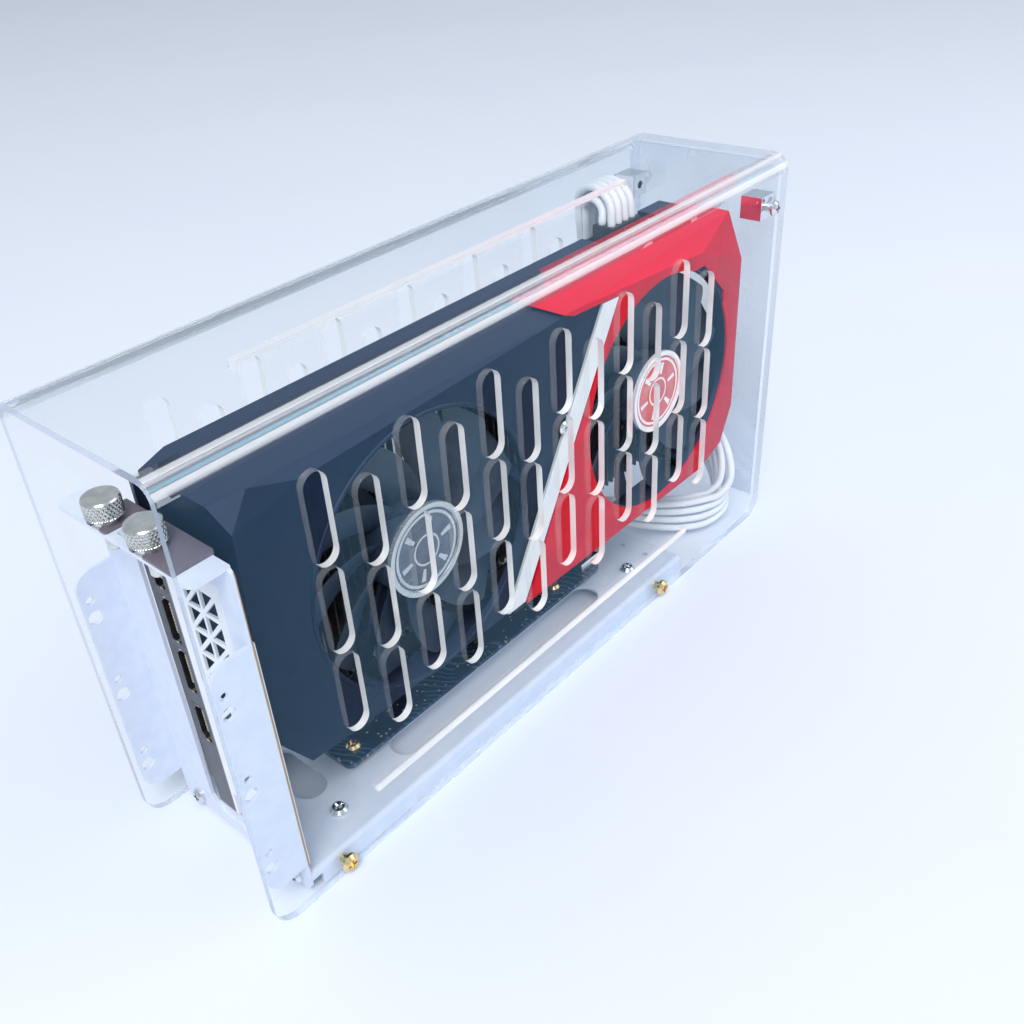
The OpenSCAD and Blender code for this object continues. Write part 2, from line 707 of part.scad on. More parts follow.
// Triangles round a closed loft of rings that each hold n points
function loft_faces(rings, n) = concat(
    [for (i = [0 : rings - 2], j = [0 : n - 1])
        [i * n + j, i * n + (j + 1) % n, (i + 1) * n + (j + 1) % n]],
    [for (i = [0 : rings - 2], j = [0 : n - 1])
        [i * n + j, (i + 1) * n + (j + 1) % n, (i + 1) * n + j]],
    [for (j = [1 : n - 2]) [0, j + 1, j]],
    [for (j = [1 : n - 2]) [(rings - 1) * n, (rings - 1) * n + j, (rings - 1) * n + j + 1]]
);

module blade() {
    n = 2 * (blade_steps + 1);
    rings = [for (r = blade_radii) concat(
        [for (k = [0 : blade_steps]) blade_point(r, k, 1)],
        [for (k = [blade_steps : -1 : 0]) blade_point(r, k, 0)])];
    polyhedron([for (ring = rings) each ring], loft_faces(len(rings), n), convexity = 4);
}

// Rotor with its face at y = rotor_y0 and a bore for the shaft
module fan_rotor(x) color([0.13, 0.16, 0.2]) translate([x, rotor_y0, fan_z]) rotate([-90, 0, 0]) {
    for (i = [0 : fan_blades - 1]) rotate(i * 360 / fan_blades) blade();
    difference() {
        cylinder(h = rotor_y1 - rotor_y0, r = hub_r);
        translate([0, 0, 0.6]) cylinder(h = 20, r = shaft_r + 0.05);
        translate([0, 0, 4]) difference() {
            cylinder(h = 20, r = hub_r - 1.4);
            translate([0, 0, -over]) cylinder(h = 22, r = 4);
        }
    }
}

module fan_rotor_front() fan_rotor(fan_x[0]);
module fan_rotor_rear() fan_rotor(fan_x[1]);

// Bright-rimmed disc on the hub
module hub_cap(x) translate([x, rotor_y0, fan_z]) rotate([90, 0, 0]) difference() {
    cylinder(h = 1.4, r = hub_r - 0.2);
    translate([0, 0, 0.9]) cylinder(h = 2, r = hub_r - 1.8);
}

module hub_cap_front() color("silver") hub_cap(fan_x[0]);
module hub_cap_rear() color("silver") hub_cap(fan_x[1]);

module backplate2d() difference() {
    polygon([
        [36, 28], [40, 24.9], [266, 24.9], [266, 131], [265.4, 133.4], [263.8, 135.2], [261.4, 136],
        [46, 136], [36, 127]
    ]);
    for (i = [0 : 4]) translate([206 + i * 10, 78 + i * 5]) rotate(60) slot2d(48, 4.5);
    translate(chip_mid) round_box2d(-20, -20, 20, 20, 3);
}

module backplate() color([0.06, 0.07, 0.09]) difference() {
    union() {
        across(back_y0, back_y0 + back_t) backplate2d();
        across(pcb_y1, back_y0 + 0.1) backplate_screws2d(3.2);
    }
    across(0, dock_w) backplate_screws2d(1.4);
}

module backplate_screws() color("silver") {
    for (sx = [-1, 1], sz = [-1, 1]) translate([chip_mid[0] + sx * chip_screw_d, back_y0 + back_t,
        chip_mid[1] + sz * chip_screw_d]) rotate([-90, 0, 0]) pan_screw(4.6, 1.4, 2.8, 4.1);
    for (p = rim_screws) translate([p[0], back_y0 + back_t, p[1]])
        rotate([-90, 0, 0]) pan_screw(4.6, 1.4, 2.8, 4.1);
}

// Power connectors: two rows of four

pin_pitch = 4.2;
plug_mid = [232, 43];
plug_z = 127;

module card_power_socket() color([0.08, 0.08, 0.1]) difference() {
    translate([plug_mid[0] - 10.5, plug_mid[1] - 6, 118]) cube([21, pcb_y0 - plug_mid[1] + 6, 15]);
    translate([plug_mid[0] - 9.2, plug_mid[1] - 4.9, plug_z - 6]) cube([18.4, 9.8, 20]);
}

module card_plug() color([0.1, 0.1, 0.12]) {
    translate([plug_mid[0] - 9, plug_mid[1] - 4.7, plug_z - 5.8]) cube([18, 9.4, 22]);
    translate([plug_mid[0] - 3, plug_mid[1] - 6.2, plug_z + 7]) cube([6, 1.5, 8]);
}

module square_at(p, s) translate(p) square(s, center = true);

module board_plug() color([0.1, 0.1, 0.12])
    along(181.6, 204) square_at(out_mid, 7);

// Routes are open lists of points; each tube's rings lie square to its route

bundle_top = [240, 61.5, plug_z + 16.2];
bundle_route = [
    bundle_top, [240, 61.5, 139], [242, 62.6, 127], [245, 63.2, 112], [248.5, 63.4, 97],
    [254, 63.2, 84], [261.5, 62, 74], [268.5, 59, 66.5], [271.9, 52.5, 61], [272.1, 43, 54.5],
    [272, 33, 48], [271.6, 24, 40.5], [270.8, 16.5, 31], [268, 11, 21], [262, 9.4, 13.5],
    [254, 12, 10.5], [245.5, 18, 10.8], [237.5, 25.5, 12.6], [230, 33, 14.9], [222.5, 40, 17.2],
    [214.5, 46.4, 18.9], [208, out_mid[0], out_mid[1]], [204, out_mid[0], out_mid[1]]
];

function unit(v) = v / norm(v);
function tangent(p, i) = unit(p[min(i + 1, len(p) - 1)] - p[max(i - 1, 0)]);
function side(t) = unit(cross(t, abs(t[2]) > 0.9 ? [1, 0, 0] : [0, 0, 1]));

module tube(route, d, sides) {
    points = [for (i = [0 : len(route) - 1]) let(t = tangent(route, i), s = side(t), u = cross(s, t))
        for (k = [0 : sides - 1]) route[i] + d / 2 * (cos(360 * k / sides) * s + sin(360 * k / sides) * u)];
    polyhedron(points, loft_faces(len(route), sides), convexity = 10);
}

// Eight wires rise from the plug and arch over the backplate in two nested rows, down to the bundle
wire_lead = 0.8;

module power_wires() color("white") for (i = [0 : 3], j = [0 : 1]) {
    start = [plug_mid[0] + (i - 1.5) * pin_pitch, plug_mid[1] + (j - 0.5) * pin_pitch, bundle_top[2]];
    span = bundle_top + [(i - 1.5) * 3.5, (0.5 - j) * 3.5, 0] - start;
    reach = norm(span);
    translate(start) rotate([0, 0, atan2(span[1], span[0])]) {
        for (x = [0, reach]) translate([x, 0, 0]) cylinder(h = wire_lead, d = wire_d);
        translate([reach / 2, 0, wire_lead]) rotate([90, 0, 0])
            rotate_extrude(angle = 180) translate([reach / 2, 0]) circle(d = wire_d);
    }
}

module power_bundle() color("white") tube(bundle_route, bundle_d, 8);

in_frame() acrylic_cover();
in_frame() rear_panel();
in_frame() corner_blocks();
in_frame() corner_block_screws();
in_frame() cover_screws();
in_frame() base_tray();
in_frame() rubber_feet();
in_frame() tray_screws();
in_frame() front_plate();
in_frame() front_plate_screws();
in_frame() thumbscrew_far();
in_frame() thumbscrew_near();
in_frame() board_standoffs();
in_frame() board_screws();
in_frame() dock_board();
in_frame() pcie_slot();
in_frame() slot_latch();
in_frame() power_inlet();
in_frame() power_output_socket();
in_frame() host_port();
in_frame() board_chips();
in_frame() board_coils();
in_frame() board_capacitors();
in_frame() card_pcb();
in_frame() card_bracket();
in_frame() display_ports();
in_frame() gpu_chip();
in_frame() memory_chips();
in_frame() card_coils();
in_frame() heatsink_fins();
in_frame() heat_pipes();
in_frame() shroud();
in_frame() red_shroud_panel();
in_frame() diagonal_strip();
in_frame() shroud_screws();
in_frame() fan_frame_front();
in_frame() fan_frame_rear();
in_frame() fan_screws();
in_frame() fan_rotor_front();
in_frame() fan_rotor_rear();
in_frame() hub_cap_front();
in_frame() hub_cap_rear();
in_frame() backplate();
in_frame() backplate_screws();
in_frame() card_power_socket();
in_frame() card_plug();
in_frame() power_wires();
in_frame() power_bundle();
in_frame() board_plug();
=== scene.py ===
"""Looks of the external graphics dock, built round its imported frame."""

from __future__ import annotations

import logging
import math
from dataclasses import dataclass
from enum import Enum

import bmesh
import bpy
import numpy as np
from mathutils import Matrix, Vector


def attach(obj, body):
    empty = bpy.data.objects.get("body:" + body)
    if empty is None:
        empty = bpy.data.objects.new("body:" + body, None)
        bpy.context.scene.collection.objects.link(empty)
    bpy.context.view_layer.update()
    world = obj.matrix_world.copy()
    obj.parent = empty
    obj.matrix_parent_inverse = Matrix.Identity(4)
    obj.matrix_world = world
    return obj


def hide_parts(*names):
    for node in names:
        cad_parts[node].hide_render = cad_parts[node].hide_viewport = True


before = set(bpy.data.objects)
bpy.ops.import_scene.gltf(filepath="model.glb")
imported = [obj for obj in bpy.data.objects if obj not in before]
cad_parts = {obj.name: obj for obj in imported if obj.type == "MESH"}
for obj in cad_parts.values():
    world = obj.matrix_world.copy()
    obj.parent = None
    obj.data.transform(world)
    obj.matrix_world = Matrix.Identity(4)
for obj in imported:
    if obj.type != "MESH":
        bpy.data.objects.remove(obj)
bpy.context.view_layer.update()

LOG = logging.getLogger("dock")
MM = 0.001
DOCK_SIZE = np.array([282.0, 72.0, 161.0])
ORIGIN = np.array([141.0, 36.0, 0.0])
TURN = 2 * math.pi
PHOTO_PX = 1024
ENDS = ("front", "rear")
FAN_CENTRES = ((85.5, 89.5), (211.0, 89.5))
FACET = "facet"
WELD = 0.002 * MM
FLAT_DEGREES = 0.4
SHARP_DEGREES = 35.0
BEVEL_STEPS = 2
REAR_SHADE_SHARE = 0.8
COAT_ROUGHNESS = 0.12
NOISE_ROUGHNESS = 0.55
PATCH_GRAINS = 12
WEAR_GRAINS = 5

Pair = tuple[float, float]
Point = tuple[float, float, float]
Colour = Point
Corners = tuple[Pair, ...]


def place(points: np.ndarray) -> np.ndarray:
    """Carries points from the dock's own measures to the shared frame.

    Args:
        points: millimetres from the I/O edge, the near wall and the desk.

    Returns:
        The same points in metres, in the frame of the CAD model.
    """
    return (np.asarray(points, float) - ORIGIN) * MM


class Body(Enum):
    """Bodies of the frame that pieces ride on."""

    DOCK = "dock"
    FRONT_FAN = "fan_front"
    REAR_FAN = "fan_rear"
    FAR_SCREW = "far_thumbscrew"
    NEAR_SCREW = "near_thumbscrew"


class Link:
    """An output socket on which Python operators add Math nodes."""

    def __init__(self, tree: Tree, socket: bpy.types.NodeSocket) -> None:
        """Keeps the tree and the socket."""
        self.tree = tree
        self.socket = socket

    def _math(self, operation: str, first: Link | float, second: Link | float = 0.0) -> Link:
        """Adds one Math node.

        Args:
            operation: the node's operation.
            first: its first value.
            second: its second value.

        Returns:
            The node's output.
        """
        node = self.tree.add("ShaderNodeMath", {"operation": operation}, {0: first, 1: second})
        return Link(self.tree, node.outputs[0])

    def __add__(self, other: Link | float) -> Link:
        """Sum."""
        return self._math("ADD", self, other)

    def __sub__(self, other: Link | float) -> Link:
        """Difference."""
        return self._math("SUBTRACT", self, other)

    def __rsub__(self, other: Link | float) -> Link:
        """Difference from a number."""
        return self._math("SUBTRACT", other, self)

    def __mul__(self, other: Link | float) -> Link:
        """Product."""
        return self._math("MULTIPLY", self, other)

    def __pow__(self, other: Link | float) -> Link:
        """Power."""
        return self._math("POWER", self, other)

    def __abs__(self) -> Link:
        """Absolute value."""
        return self._math("ABSOLUTE", self)

    def above(self, limit: float) -> Link:
        """One where the value is over the limit, else nought."""
        return self._math("GREATER_THAN", self, limit)

    def below(self, limit: float) -> Link:
        """One where the value is under the limit, else nought."""
        return self._math("LESS_THAN", self, limit)

    def near(self, middle: float, half: float) -> Link:
        """One within half of the middle, else nought."""
        return abs(self - middle).below(half)

    def within(self, low: float, high: float) -> Link:
        """One between two limits, else nought."""
        return self.above(low) * self.below(high)

    def sine(self) -> Link:
        """Sine of the value in radians."""
        return self._math("SINE", self)

    def least(self, other: Link | float) -> Link:
        """The lesser of two values."""
        return self._math("MINIMUM", self, other)

    def heading(self, across: Link | float) -> Link:
        """Angle in radians of the point that lies so far across and this value up."""
        return self._math("ARCTAN2", self, across)

    def ramp(self, low: float, high: float) -> Link:
        """Smooth step from nought at low to one at high.

        Args:
            low: where the step starts.
            high: where it ends.

        Returns:
            The step's value.
        """
        node = self.tree.add(
            "ShaderNodeMapRange", {"interpolation_type": "SMOOTHSTEP"},
            {"Value": self, "From Min": low, "From Max": high})
        return Link(self.tree, node.outputs[0])

    def band(self, edges: tuple[float, ...]) -> Link:
        """Smooth band that rises from the first edge to the second and falls from the third to the fourth."""
        return self.ramp(*edges[:2]) - self.ramp(*edges[2:])


class Tree:
    """A material's node tree with short calls for what finishes use."""

    def __init__(self, name: str) -> None:
        """Starts an empty material of that name."""
        self.material = bpy.data.materials.new(name)
        self.material.use_nodes = True
        self.nodes = self.material.node_tree.nodes
        self.links = self.material.node_tree.links
        self.nodes.clear()
        self.point = Link(self, self.add("ShaderNodeTexCoord").outputs["Object"])

    def add(self, kind: str, settings: dict | None = None, inputs: dict | None = None) -> bpy.types.Node:
        """Adds one node.

        Args:
            kind: the node's type.
            settings: attributes that are set first.
            inputs: values or links for its sockets, by name or number.

        Returns:
            The new node.
        """
        node = self.nodes.new(kind)
        for key, value in (settings or {}).items():
            setattr(node, key, value)
        for key, value in (inputs or {}).items():
            if isinstance(value, Link):
                self.links.new(value.socket, node.inputs[key])
            else:
                node.inputs[key].default_value = value
        return node

    def colour(self, value: Link | tuple[float, ...]) -> Link | tuple[float, ...]:
        """A colour as a socket takes it."""
        return value if isinstance(value, Link) else (*value[:3], 1.0)

    def axes(self, centre: Point = (0.0, 0.0, 0.0)) -> tuple[Link, Link, Link]:
        """The place on the dock.

        Args:
            centre: point from which it is measured.

        Returns:
            Millimetres from the I/O edge, the near wall and the desk, less the centre's.
        """
        start = tuple(float(v) for v in place(centre))
        moved = self.add("ShaderNodeVectorMath", {"operation": "SUBTRACT"}, {0: self.point, 1: start})
        scaled = self.add("ShaderNodeVectorMath", {"operation": "SCALE"},
                          {0: Link(self, moved.outputs[0]), "Scale": 1 / MM})
        split = self.add("ShaderNodeSeparateXYZ", {}, {0: Link(self, scaled.outputs[0])})
        return tuple(Link(self, split.outputs[k]) for k in range(3))

    def noise(self, scale: float, detail: float = 3.0, stretch: Point = (1, 1, 1)) -> Link:
        """Noise over the object's own coordinates.

        Args:
            scale: cells a metre.
            detail: how many finer layers are added.
            stretch: how many times finer it runs along each axis.

        Returns:
            The noise, between nought and one.
        """
        mapped = self.add("ShaderNodeMapping", {}, {"Vector": self.point, "Scale": stretch})
        node = self.add("ShaderNodeTexNoise", {}, {
            "Vector": Link(self, mapped.outputs[0]), "Scale": scale, "Detail": detail,
            "Roughness": NOISE_ROUGHNESS})
        return Link(self, node.outputs[0])

    def cells(self, scale: float) -> Link:
        """Distance to the nearest of scattered points."""
        node = self.add("ShaderNodeTexVoronoi", {}, {"Vector": self.point, "Scale": scale})
        return Link(self, node.outputs["Distance"])

    def mix(self, first: Link | tuple, second: Link | tuple, factor: Link | float) -> Link:
        """Blend of two colours.

        Args:
            first: the colour at nought.
            second: the colour at one.
            factor: how much of the second is taken.

        Returns:
            The blended colour.
        """
        node = self.add("ShaderNodeMix", {"data_type": "RGBA"},
                        {0: factor, 6: self.colour(first), 7: self.colour(second)})
        return Link(self, node.outputs[2])

    def bump(self, height: Link, depth_mm: float) -> Link:
        """Bends the normal by a height.

        Args:
            height: the height's pattern.
            depth_mm: millimetres that a height of one stands for.

        Returns:
            The bent normal.
        """
        node = self.add("ShaderNodeBump", {}, {"Height": height, "Strength": 1.0, "Distance": depth_mm * MM})
        return Link(self, node.outputs[0])

    def surface(self, **inputs: Link | float | tuple) -> Link:
        """A Principled shader.

        Args:
            inputs: values or links for its sockets, with underscores for the blanks in their names.

        Returns:
            The shader.
        """
        node = self.add("ShaderNodeBsdfPrincipled", {}, {k.replace("_", " "): v for k, v in inputs.items()})
        return Link(self, node.outputs[0])

    def blend(self, first: Link, second: Link, factor: Link | float) -> Link:
        """Mix of two shaders.

        Args:
            first: the shader at nought.
            second: the shader at one.
            factor: how much of the second is taken.

        Returns:
            The mixed shader.
        """
        node = self.add("ShaderNodeMixShader", {}, {0: factor, 1: first, 2: second})
        return Link(self, node.outputs[0])

    def done(self, shader: Link) -> bpy.types.Material:
        """Links the shader to the output and returns the material."""
        self.add("ShaderNodeOutputMaterial", {}, {0: shader})
        return self.material


@dataclass(frozen=True)
class Finish:
    """A solid finish: colour that drifts, roughness that varies and a fine grain."""

    name: str
    colour: Colour
    shade: Colour
    roughness: float = 0.45
    spread: float = 0.12
    metallic: float = 0.0
    coat: float = 0.0
    grain: float = 900.0
    depth: float = 0.02
    stretch: Point = (1.0, 1.0, 1.0)
    mirror: float = 0.5

    def paint(self, tree: Tree) -> Link:
        """Colour over the surface: two tones that drift into each other in patches of many grains."""
        return tree.mix(self.colour, self.shade, tree.noise(self.grain / PATCH_GRAINS, 3.0).ramp(0.35, 0.7))

    def sheen(self, tree: Tree) -> Link:
        """Roughness over the surface."""
        wear = tree.noise(self.grain / WEAR_GRAINS, 4.0, self.stretch)
        return wear * self.spread + (self.roughness - self.spread / 2)

    def relief(self, tree: Tree) -> Link:
        """Height of the grain."""
        return tree.noise(self.grain, 4.0, self.stretch)

    def build(self) -> bpy.types.Material:
        """Makes the material once and returns it."""
        known = bpy.data.materials.get(self.name)
        if known:
            return known
        tree = Tree(self.name)
        return tree.done(tree.surface(
            Base_Color=self.paint(tree), Roughness=self.sheen(tree), Metallic=self.metallic,
            Coat_Weight=self.coat, Coat_Roughness=COAT_ROUGHNESS, Specular_IOR_Level=self.mirror,
            Normal=tree.bump(self.relief(tree), self.depth)))


@dataclass(frozen=True)
class FacingShadePaint(Finish):
    """Moulded facets with painted light and shade: each is painted lighter as it turns up and darker as it
    turns to the rear or down, held in the piece's facet attribute.
    """

    dark: Colour = (0.0, 0.0, 0.0)
    light: Colour = (1.0, 1.0, 1.0)

    def paint(self, tree: Tree) -> Link:
        """Painted shade on facets that turn to the rear or down, painted light on those that turn up."""
        facet = Link(tree, tree.add("ShaderNodeAttribute", {"attribute_name": FACET}).outputs["Fac"])
        # painted light on upward facets, painted shade on rearward and downward ones
        painted_light_tone = tree.mix(super().paint(tree), self.light, facet.ramp(0.55, 0.72))
        return tree.mix(self.dark, painted_light_tone, facet.ramp(0.2, 0.45))


@dataclass(frozen=True)
class FoldedPaint(Finish):
    """White paint with a warm brown line along the sheared edge at the plate's near fold."""

    fold_x: float = 16.2
    fold_half: float = 0.35
    near_y: float = 3.1
    foot_z: float = 12.0
    edge_brown: Colour = (0.38, 0.24, 0.1)

    def paint(self, tree: Tree) -> Link:
        """White, turning brown on the plate's cut edge."""
        x, y, z = tree.axes()
        edge = x.near(self.fold_x, self.fold_half) * y.below(self.near_y) * z.above(self.foot_z)
        return tree.mix(super().paint(tree), self.edge_brown, edge)


@dataclass(frozen=True)
class BracketPlate(Finish):
    """Bright bracket whose socket column is painted grey for the shade and dark reflection on its steel, with
    a dark top tab.
    """

    column_y: float = 40.5
    column_top: float = 126.0
    column_soft: float = 0.4
    column_painted_shade: Colour = (0.07, 0.075, 0.09)
    tab_z: float = 127.5
    tab_colour: Colour = (0.15, 0.13, 0.17)

    def paint(self, tree: Tree) -> Link:
        """White on the vent side, painted shade and dark reflection in grey round the sockets with a soft
        change between, dark on the top tab.
        """
        _, y, z = tree.axes()
        start, end = self.column_y - self.column_soft, self.column_y + self.column_soft
        # painted shade and dark reflection over the socket column
        column = y.ramp(start, end) * z.below(self.column_top)
        tab = tree.mix(super().paint(tree), self.tab_colour, z.above(self.tab_z))
        return tree.mix(tab, self.column_painted_shade, column)


@dataclass(frozen=True)
class HubDisc(Finish):
    """Turned disc with plain rings and six short rays round its middle."""

    centre: Pair = (0.0, 0.0)
    ring: Colour = (0.8, 0.82, 0.84)
    outer_ring: Pair = (12.6, 0.5)
    inner_ring: Pair = (5.2, 0.35)
    rim_r: float = 13.9
    ray_span: Pair = (6.8, 11.2)
    rays: int = 6
    ray_edge: float = 0.86

    def paint(self, tree: Tree) -> Link:
        """Dark disc, bright rings at set radii, and rays between them."""
        x, _, z = tree.axes((self.centre[0], 0.0, self.centre[1]))
        radius = (x * x + z * z) ** 0.5
        angle = z.heading(x)
        rings = radius.near(*self.outer_ring) + radius.near(*self.inner_ring) + radius.above(self.rim_r)
        rays = (angle * self.rays).sine().above(self.ray_edge) * radius.within(*self.ray_span)
        return tree.mix(super().paint(tree), self.ring, (rings + rays).least(1.0))


@dataclass(frozen=True)
class CircuitBoard(Finish):
    """Solder mask with copper runs under it and bright vias."""

    trace: Colour = (0.06, 0.11, 0.2)
    via: Colour = (0.55, 0.5, 0.38)
    gold: Colour = (0.9, 0.66, 0.25)
    edge_z: Pair = (16.0, 24.9)
    finger_pitch: float = 1.0
    finger_edge: float = -0.4
    bend_mm: float = 26.0
    run_rate: float = 2.1
    run_edge: float = 0.62
    via_scale: float = 420.0
    via_edge: float = 0.17

    def paint(self, tree: Tree) -> Link:
        """Runs where a wave bent by slow noise crests, vias at scattered points, gold on the edge."""
        x, y, z = tree.axes()
        bend = tree.noise(45.0, 1.0) * self.bend_mm
        wave = ((x + y * 0.6 + z * 0.5 + bend) * self.run_rate).sine()
        runs = wave.above(self.run_edge) * tree.noise(60.0, 1.0).above(0.5)
        vias = tree.cells(self.via_scale).below(self.via_edge)
        teeth = (x * (TURN / self.finger_pitch)).sine().above(self.finger_edge)
        copper = tree.mix(tree.mix(super().paint(tree), self.trace, runs), self.via, vias)
        return tree.mix(copper, self.gold, z.within(*self.edge_z) * teeth)


@dataclass(frozen=True)
class PortShell(Finish):
    """Dark shells, with a gilt contact row along each tongue."""

    tongue_y: float = 45.2
    tongue_half: float = 0.62
    stripe_rate: float = 5.2
    stripe_edge: float = -0.7
    gilt: Colour = (0.95, 0.82, 0.5)

    def paint(self, tree: Tree) -> Link:
        """Gilt stripes across the tongue, dark elsewhere."""
        _, y, z = tree.axes()
        stripes = (z * self.stripe_rate).sine().above(self.stripe_edge)
        return tree.mix(super().paint(tree), self.gilt, y.near(self.tongue_y, self.tongue_half) * stripes)


@dataclass(frozen=True)
class ClearSheet:
    """Clear polished acrylic: see-through panes with a weak gloss, glass-like folds with painted white and
    cyan highlight bands, and glass-like edges.
    """

    name: str
    haze: float = 0.006
    roughness: float = 0.0
    gloss: float = 0.5
    solid: bool = False
    inner_clear: float = 0.7
    fold_r: float = 6.5
    refraction: float = 1.49
    shadow_ease: float = 0.9
    face_on: float = 0.04
    smudge: float = 0.004
    fold_share: float = 0.6
    tint: Colour = (0.965, 0.98, 1.0)
    milk: Colour = (0.55, 0.7, 0.9)
    glint: Colour = (0.36, 0.72, 1.0)
    band_white: Colour = (0.95, 0.97, 1.0)
    band_cyan: Colour = (0.4, 0.72, 0.86)
    band_strength: Pair = (0.8, 0.55)
    low_band: tuple[float, ...] = (0.15, 0.3, 0.52, 0.6)
    cyan_band: tuple[float, ...] = (0.56, 0.64, 0.74, 0.8)
    high_band: tuple[float, ...] = (0.95, 1.02, 1.2, 1.3)

    def glass(self, tree: Tree) -> Link:
        """Refracting shader with a little haze; most light passes it without a shadow."""
        clear = tree.surface(Base_Color=(*self.tint, 1.0), Roughness=self.roughness, IOR=self.refraction,
                             Transmission_Weight=1.0)
        # dust haze on the panes; on the slot walls the white haze is partly frosting and partly painted
        # highlight
        dust_and_painted_highlight = tree.noise(30.0, 3.0).ramp(0.3, 0.8) * (self.haze / 2) + self.haze
        milk = tree.surface(Base_Color=(*self.milk, 1.0), Roughness=0.5)
        through = tree.add("ShaderNodeBsdfTransparent", {}, {"Color": (*self.tint, 1.0)})
        shadow = Link(tree, tree.add("ShaderNodeLightPath").outputs["Is Shadow Ray"])
        hazed = tree.blend(clear, milk, dust_and_painted_highlight)
        return tree.blend(hazed, Link(tree, through.outputs[0]), shadow * self.shadow_ease)

    def pane(self, tree: Tree) -> Link:
        """Thin mirror as strong as a share of the sheet's reflection, clear otherwise.

        The reflection is 4 per cent face on and rises with the fifth power of the turn away from the eye.
        """
        facing = Link(tree, tree.add("ShaderNodeLayerWeight", {}, {"Blend": 0.5}).outputs["Facing"])
        edge_on = facing ** 5 * (1 - self.face_on) + self.face_on
        smudge = tree.noise(22.0, 4.0).ramp(0.45, 0.8) * self.smudge
        return tree.surface(Base_Color=(*self.glint, 1.0), Metallic=1.0, Roughness=0.03,
                            Alpha=edge_on * self.gloss + smudge)

    def painted_gleam(self, tree: Tree, side: Link, z: Link) -> Link:
        """Painted highlight bands, white and cyan, that run along a fold, one after another round its arc.

        Each band rises and falls by smooth steps over the angle round the fold, from the wall to the top.

        Args:
            tree: the material's tree.
            side: distance from the nearer wall's outer face.
            z: height over the desk.

        Returns:
            A shader that is clear between the bands.
        """
        height = z - (DOCK_SIZE[2] - self.fold_r)
        angle = height.heading(self.fold_r - side)
        streak = tree.noise(9.0, 2.0, (1.0, 0.05, 0.05)) * 0.5 + 0.6
        white, cyan = angle.band(self.low_band) + angle.band(self.high_band), angle.band(self.cyan_band)
        colour = tree.mix(self.band_white, self.band_cyan, cyan)
        strong, weak = self.band_strength
        return tree.surface(Base_Color=colour, Roughness=0.3, Alpha=(white * strong + cyan * weak) * streak)

    def build(self) -> bpy.types.Material:
        """Panes where the sheet is flat, glass with painted highlight bands where it folds; an edge is glass
        all over.
        """
        known = bpy.data.materials.get(self.name)
        if known:
            return known
        tree = Tree(self.name)
        if self.solid:
            clear = Link(tree, tree.add("ShaderNodeBsdfTransparent").outputs[0])
            inner = Link(tree, tree.add("ShaderNodeNewGeometry").outputs["Backfacing"])
            return tree.done(tree.blend(self.glass(tree), clear, inner * self.inner_clear))
        _, y, z = tree.axes()
        side = y.least(DOCK_SIZE[1] - y)
        fold = side.below(self.fold_r) * z.above(DOCK_SIZE[2] - self.fold_r)
        # painted white and cyan highlight bands over the glass of the folds
        lit = tree.blend(self.glass(tree), self.painted_gleam(tree, side, z), self.fold_share)
        return tree.done(tree.blend(self.pane(tree), lit, fold))


POWDER = FoldedPaint(
    "white_powder_coat", (0.7, 0.76, 0.88), (0.65, 0.72, 0.86), 0.42, 0.1, grain=2200, depth=0.012)
BRACKET_PAINT = BracketPlate(
    "white_bracket_paint", (0.84, 0.86, 0.9), (0.8, 0.82, 0.87), 0.36, grain=1800, depth=0.01)
ACRYLIC = ClearSheet("clear_acrylic_sheet")
RIM = ClearSheet(
    "polished_sheet_rim", haze=0.4, roughness=0.08, solid=True, inner_clear=0.3, milk=(0.5, 0.58, 0.72))
# slot walls: white haze that is partly frosting and partly painted highlight standing for their bright
# refraction
CUT_EDGE = ClearSheet(
    "laser_cut_edge", haze=0.62, roughness=0.04, solid=True, inner_clear=0.85, milk=(1.0, 1.0, 1.0))
STEEL = Finish(
    "bright_steel_screws", (0.78, 0.79, 0.81), (0.66, 0.67, 0.7), 0.22, 0.12, 1.0, grain=2600, depth=0.006,
    stretch=(1.0, 1.0, 5.0))
CHROME = Finish(
    "polished_chrome_blocks", (0.8, 0.8, 0.82), (0.74, 0.74, 0.76), 0.08, 0.05, 1.0, grain=2600, depth=0.002)
NICKEL = Finish(
    "turned_nickel", (0.72, 0.73, 0.7), (0.58, 0.6, 0.57), 0.2, 0.14, 1.0, grain=3000, depth=0.006)
GOLD = Finish(
    "gold_passivated_screws", (0.87, 0.68, 0.36), (0.72, 0.54, 0.28), 0.24, 0.12, 1.0, grain=2600,
    depth=0.006)
RUBBER = Finish("foot_rubber_matt", (0.05, 0.05, 0.055), (0.08, 0.08, 0.085), 0.8, grain=1800, depth=0.03)
BOARD = CircuitBoard(
    "navy_solder_mask", (0.012, 0.022, 0.05), (0.02, 0.035, 0.07), 0.32, 0.1, coat=0.3, grain=1600,
    depth=0.01)
BLACK_PLASTIC = Finish(
    "moulded_black_plastic", (0.02, 0.021, 0.026), (0.035, 0.036, 0.042), 0.5, grain=2400, depth=0.012)
WHITE_PLASTIC = Finish(
    "moulded_white_plastic", (0.82, 0.84, 0.86), (0.76, 0.78, 0.8), 0.4, grain=2000, depth=0.01)
CHIP = Finish("chip_epoxy", (0.035, 0.035, 0.04), (0.06, 0.06, 0.065), 0.55, grain=4000, depth=0.01)
FERRITE = Finish(
    "ferrite_blocks", (0.16, 0.165, 0.18), (0.1, 0.1, 0.11), 0.6, 0.2, 0.3, grain=2600, depth=0.02)
CAN = Finish("capacitor_can", (0.78, 0.79, 0.8), (0.7, 0.71, 0.73), 0.25, 0.1, 1.0, grain=2200, depth=0.006)
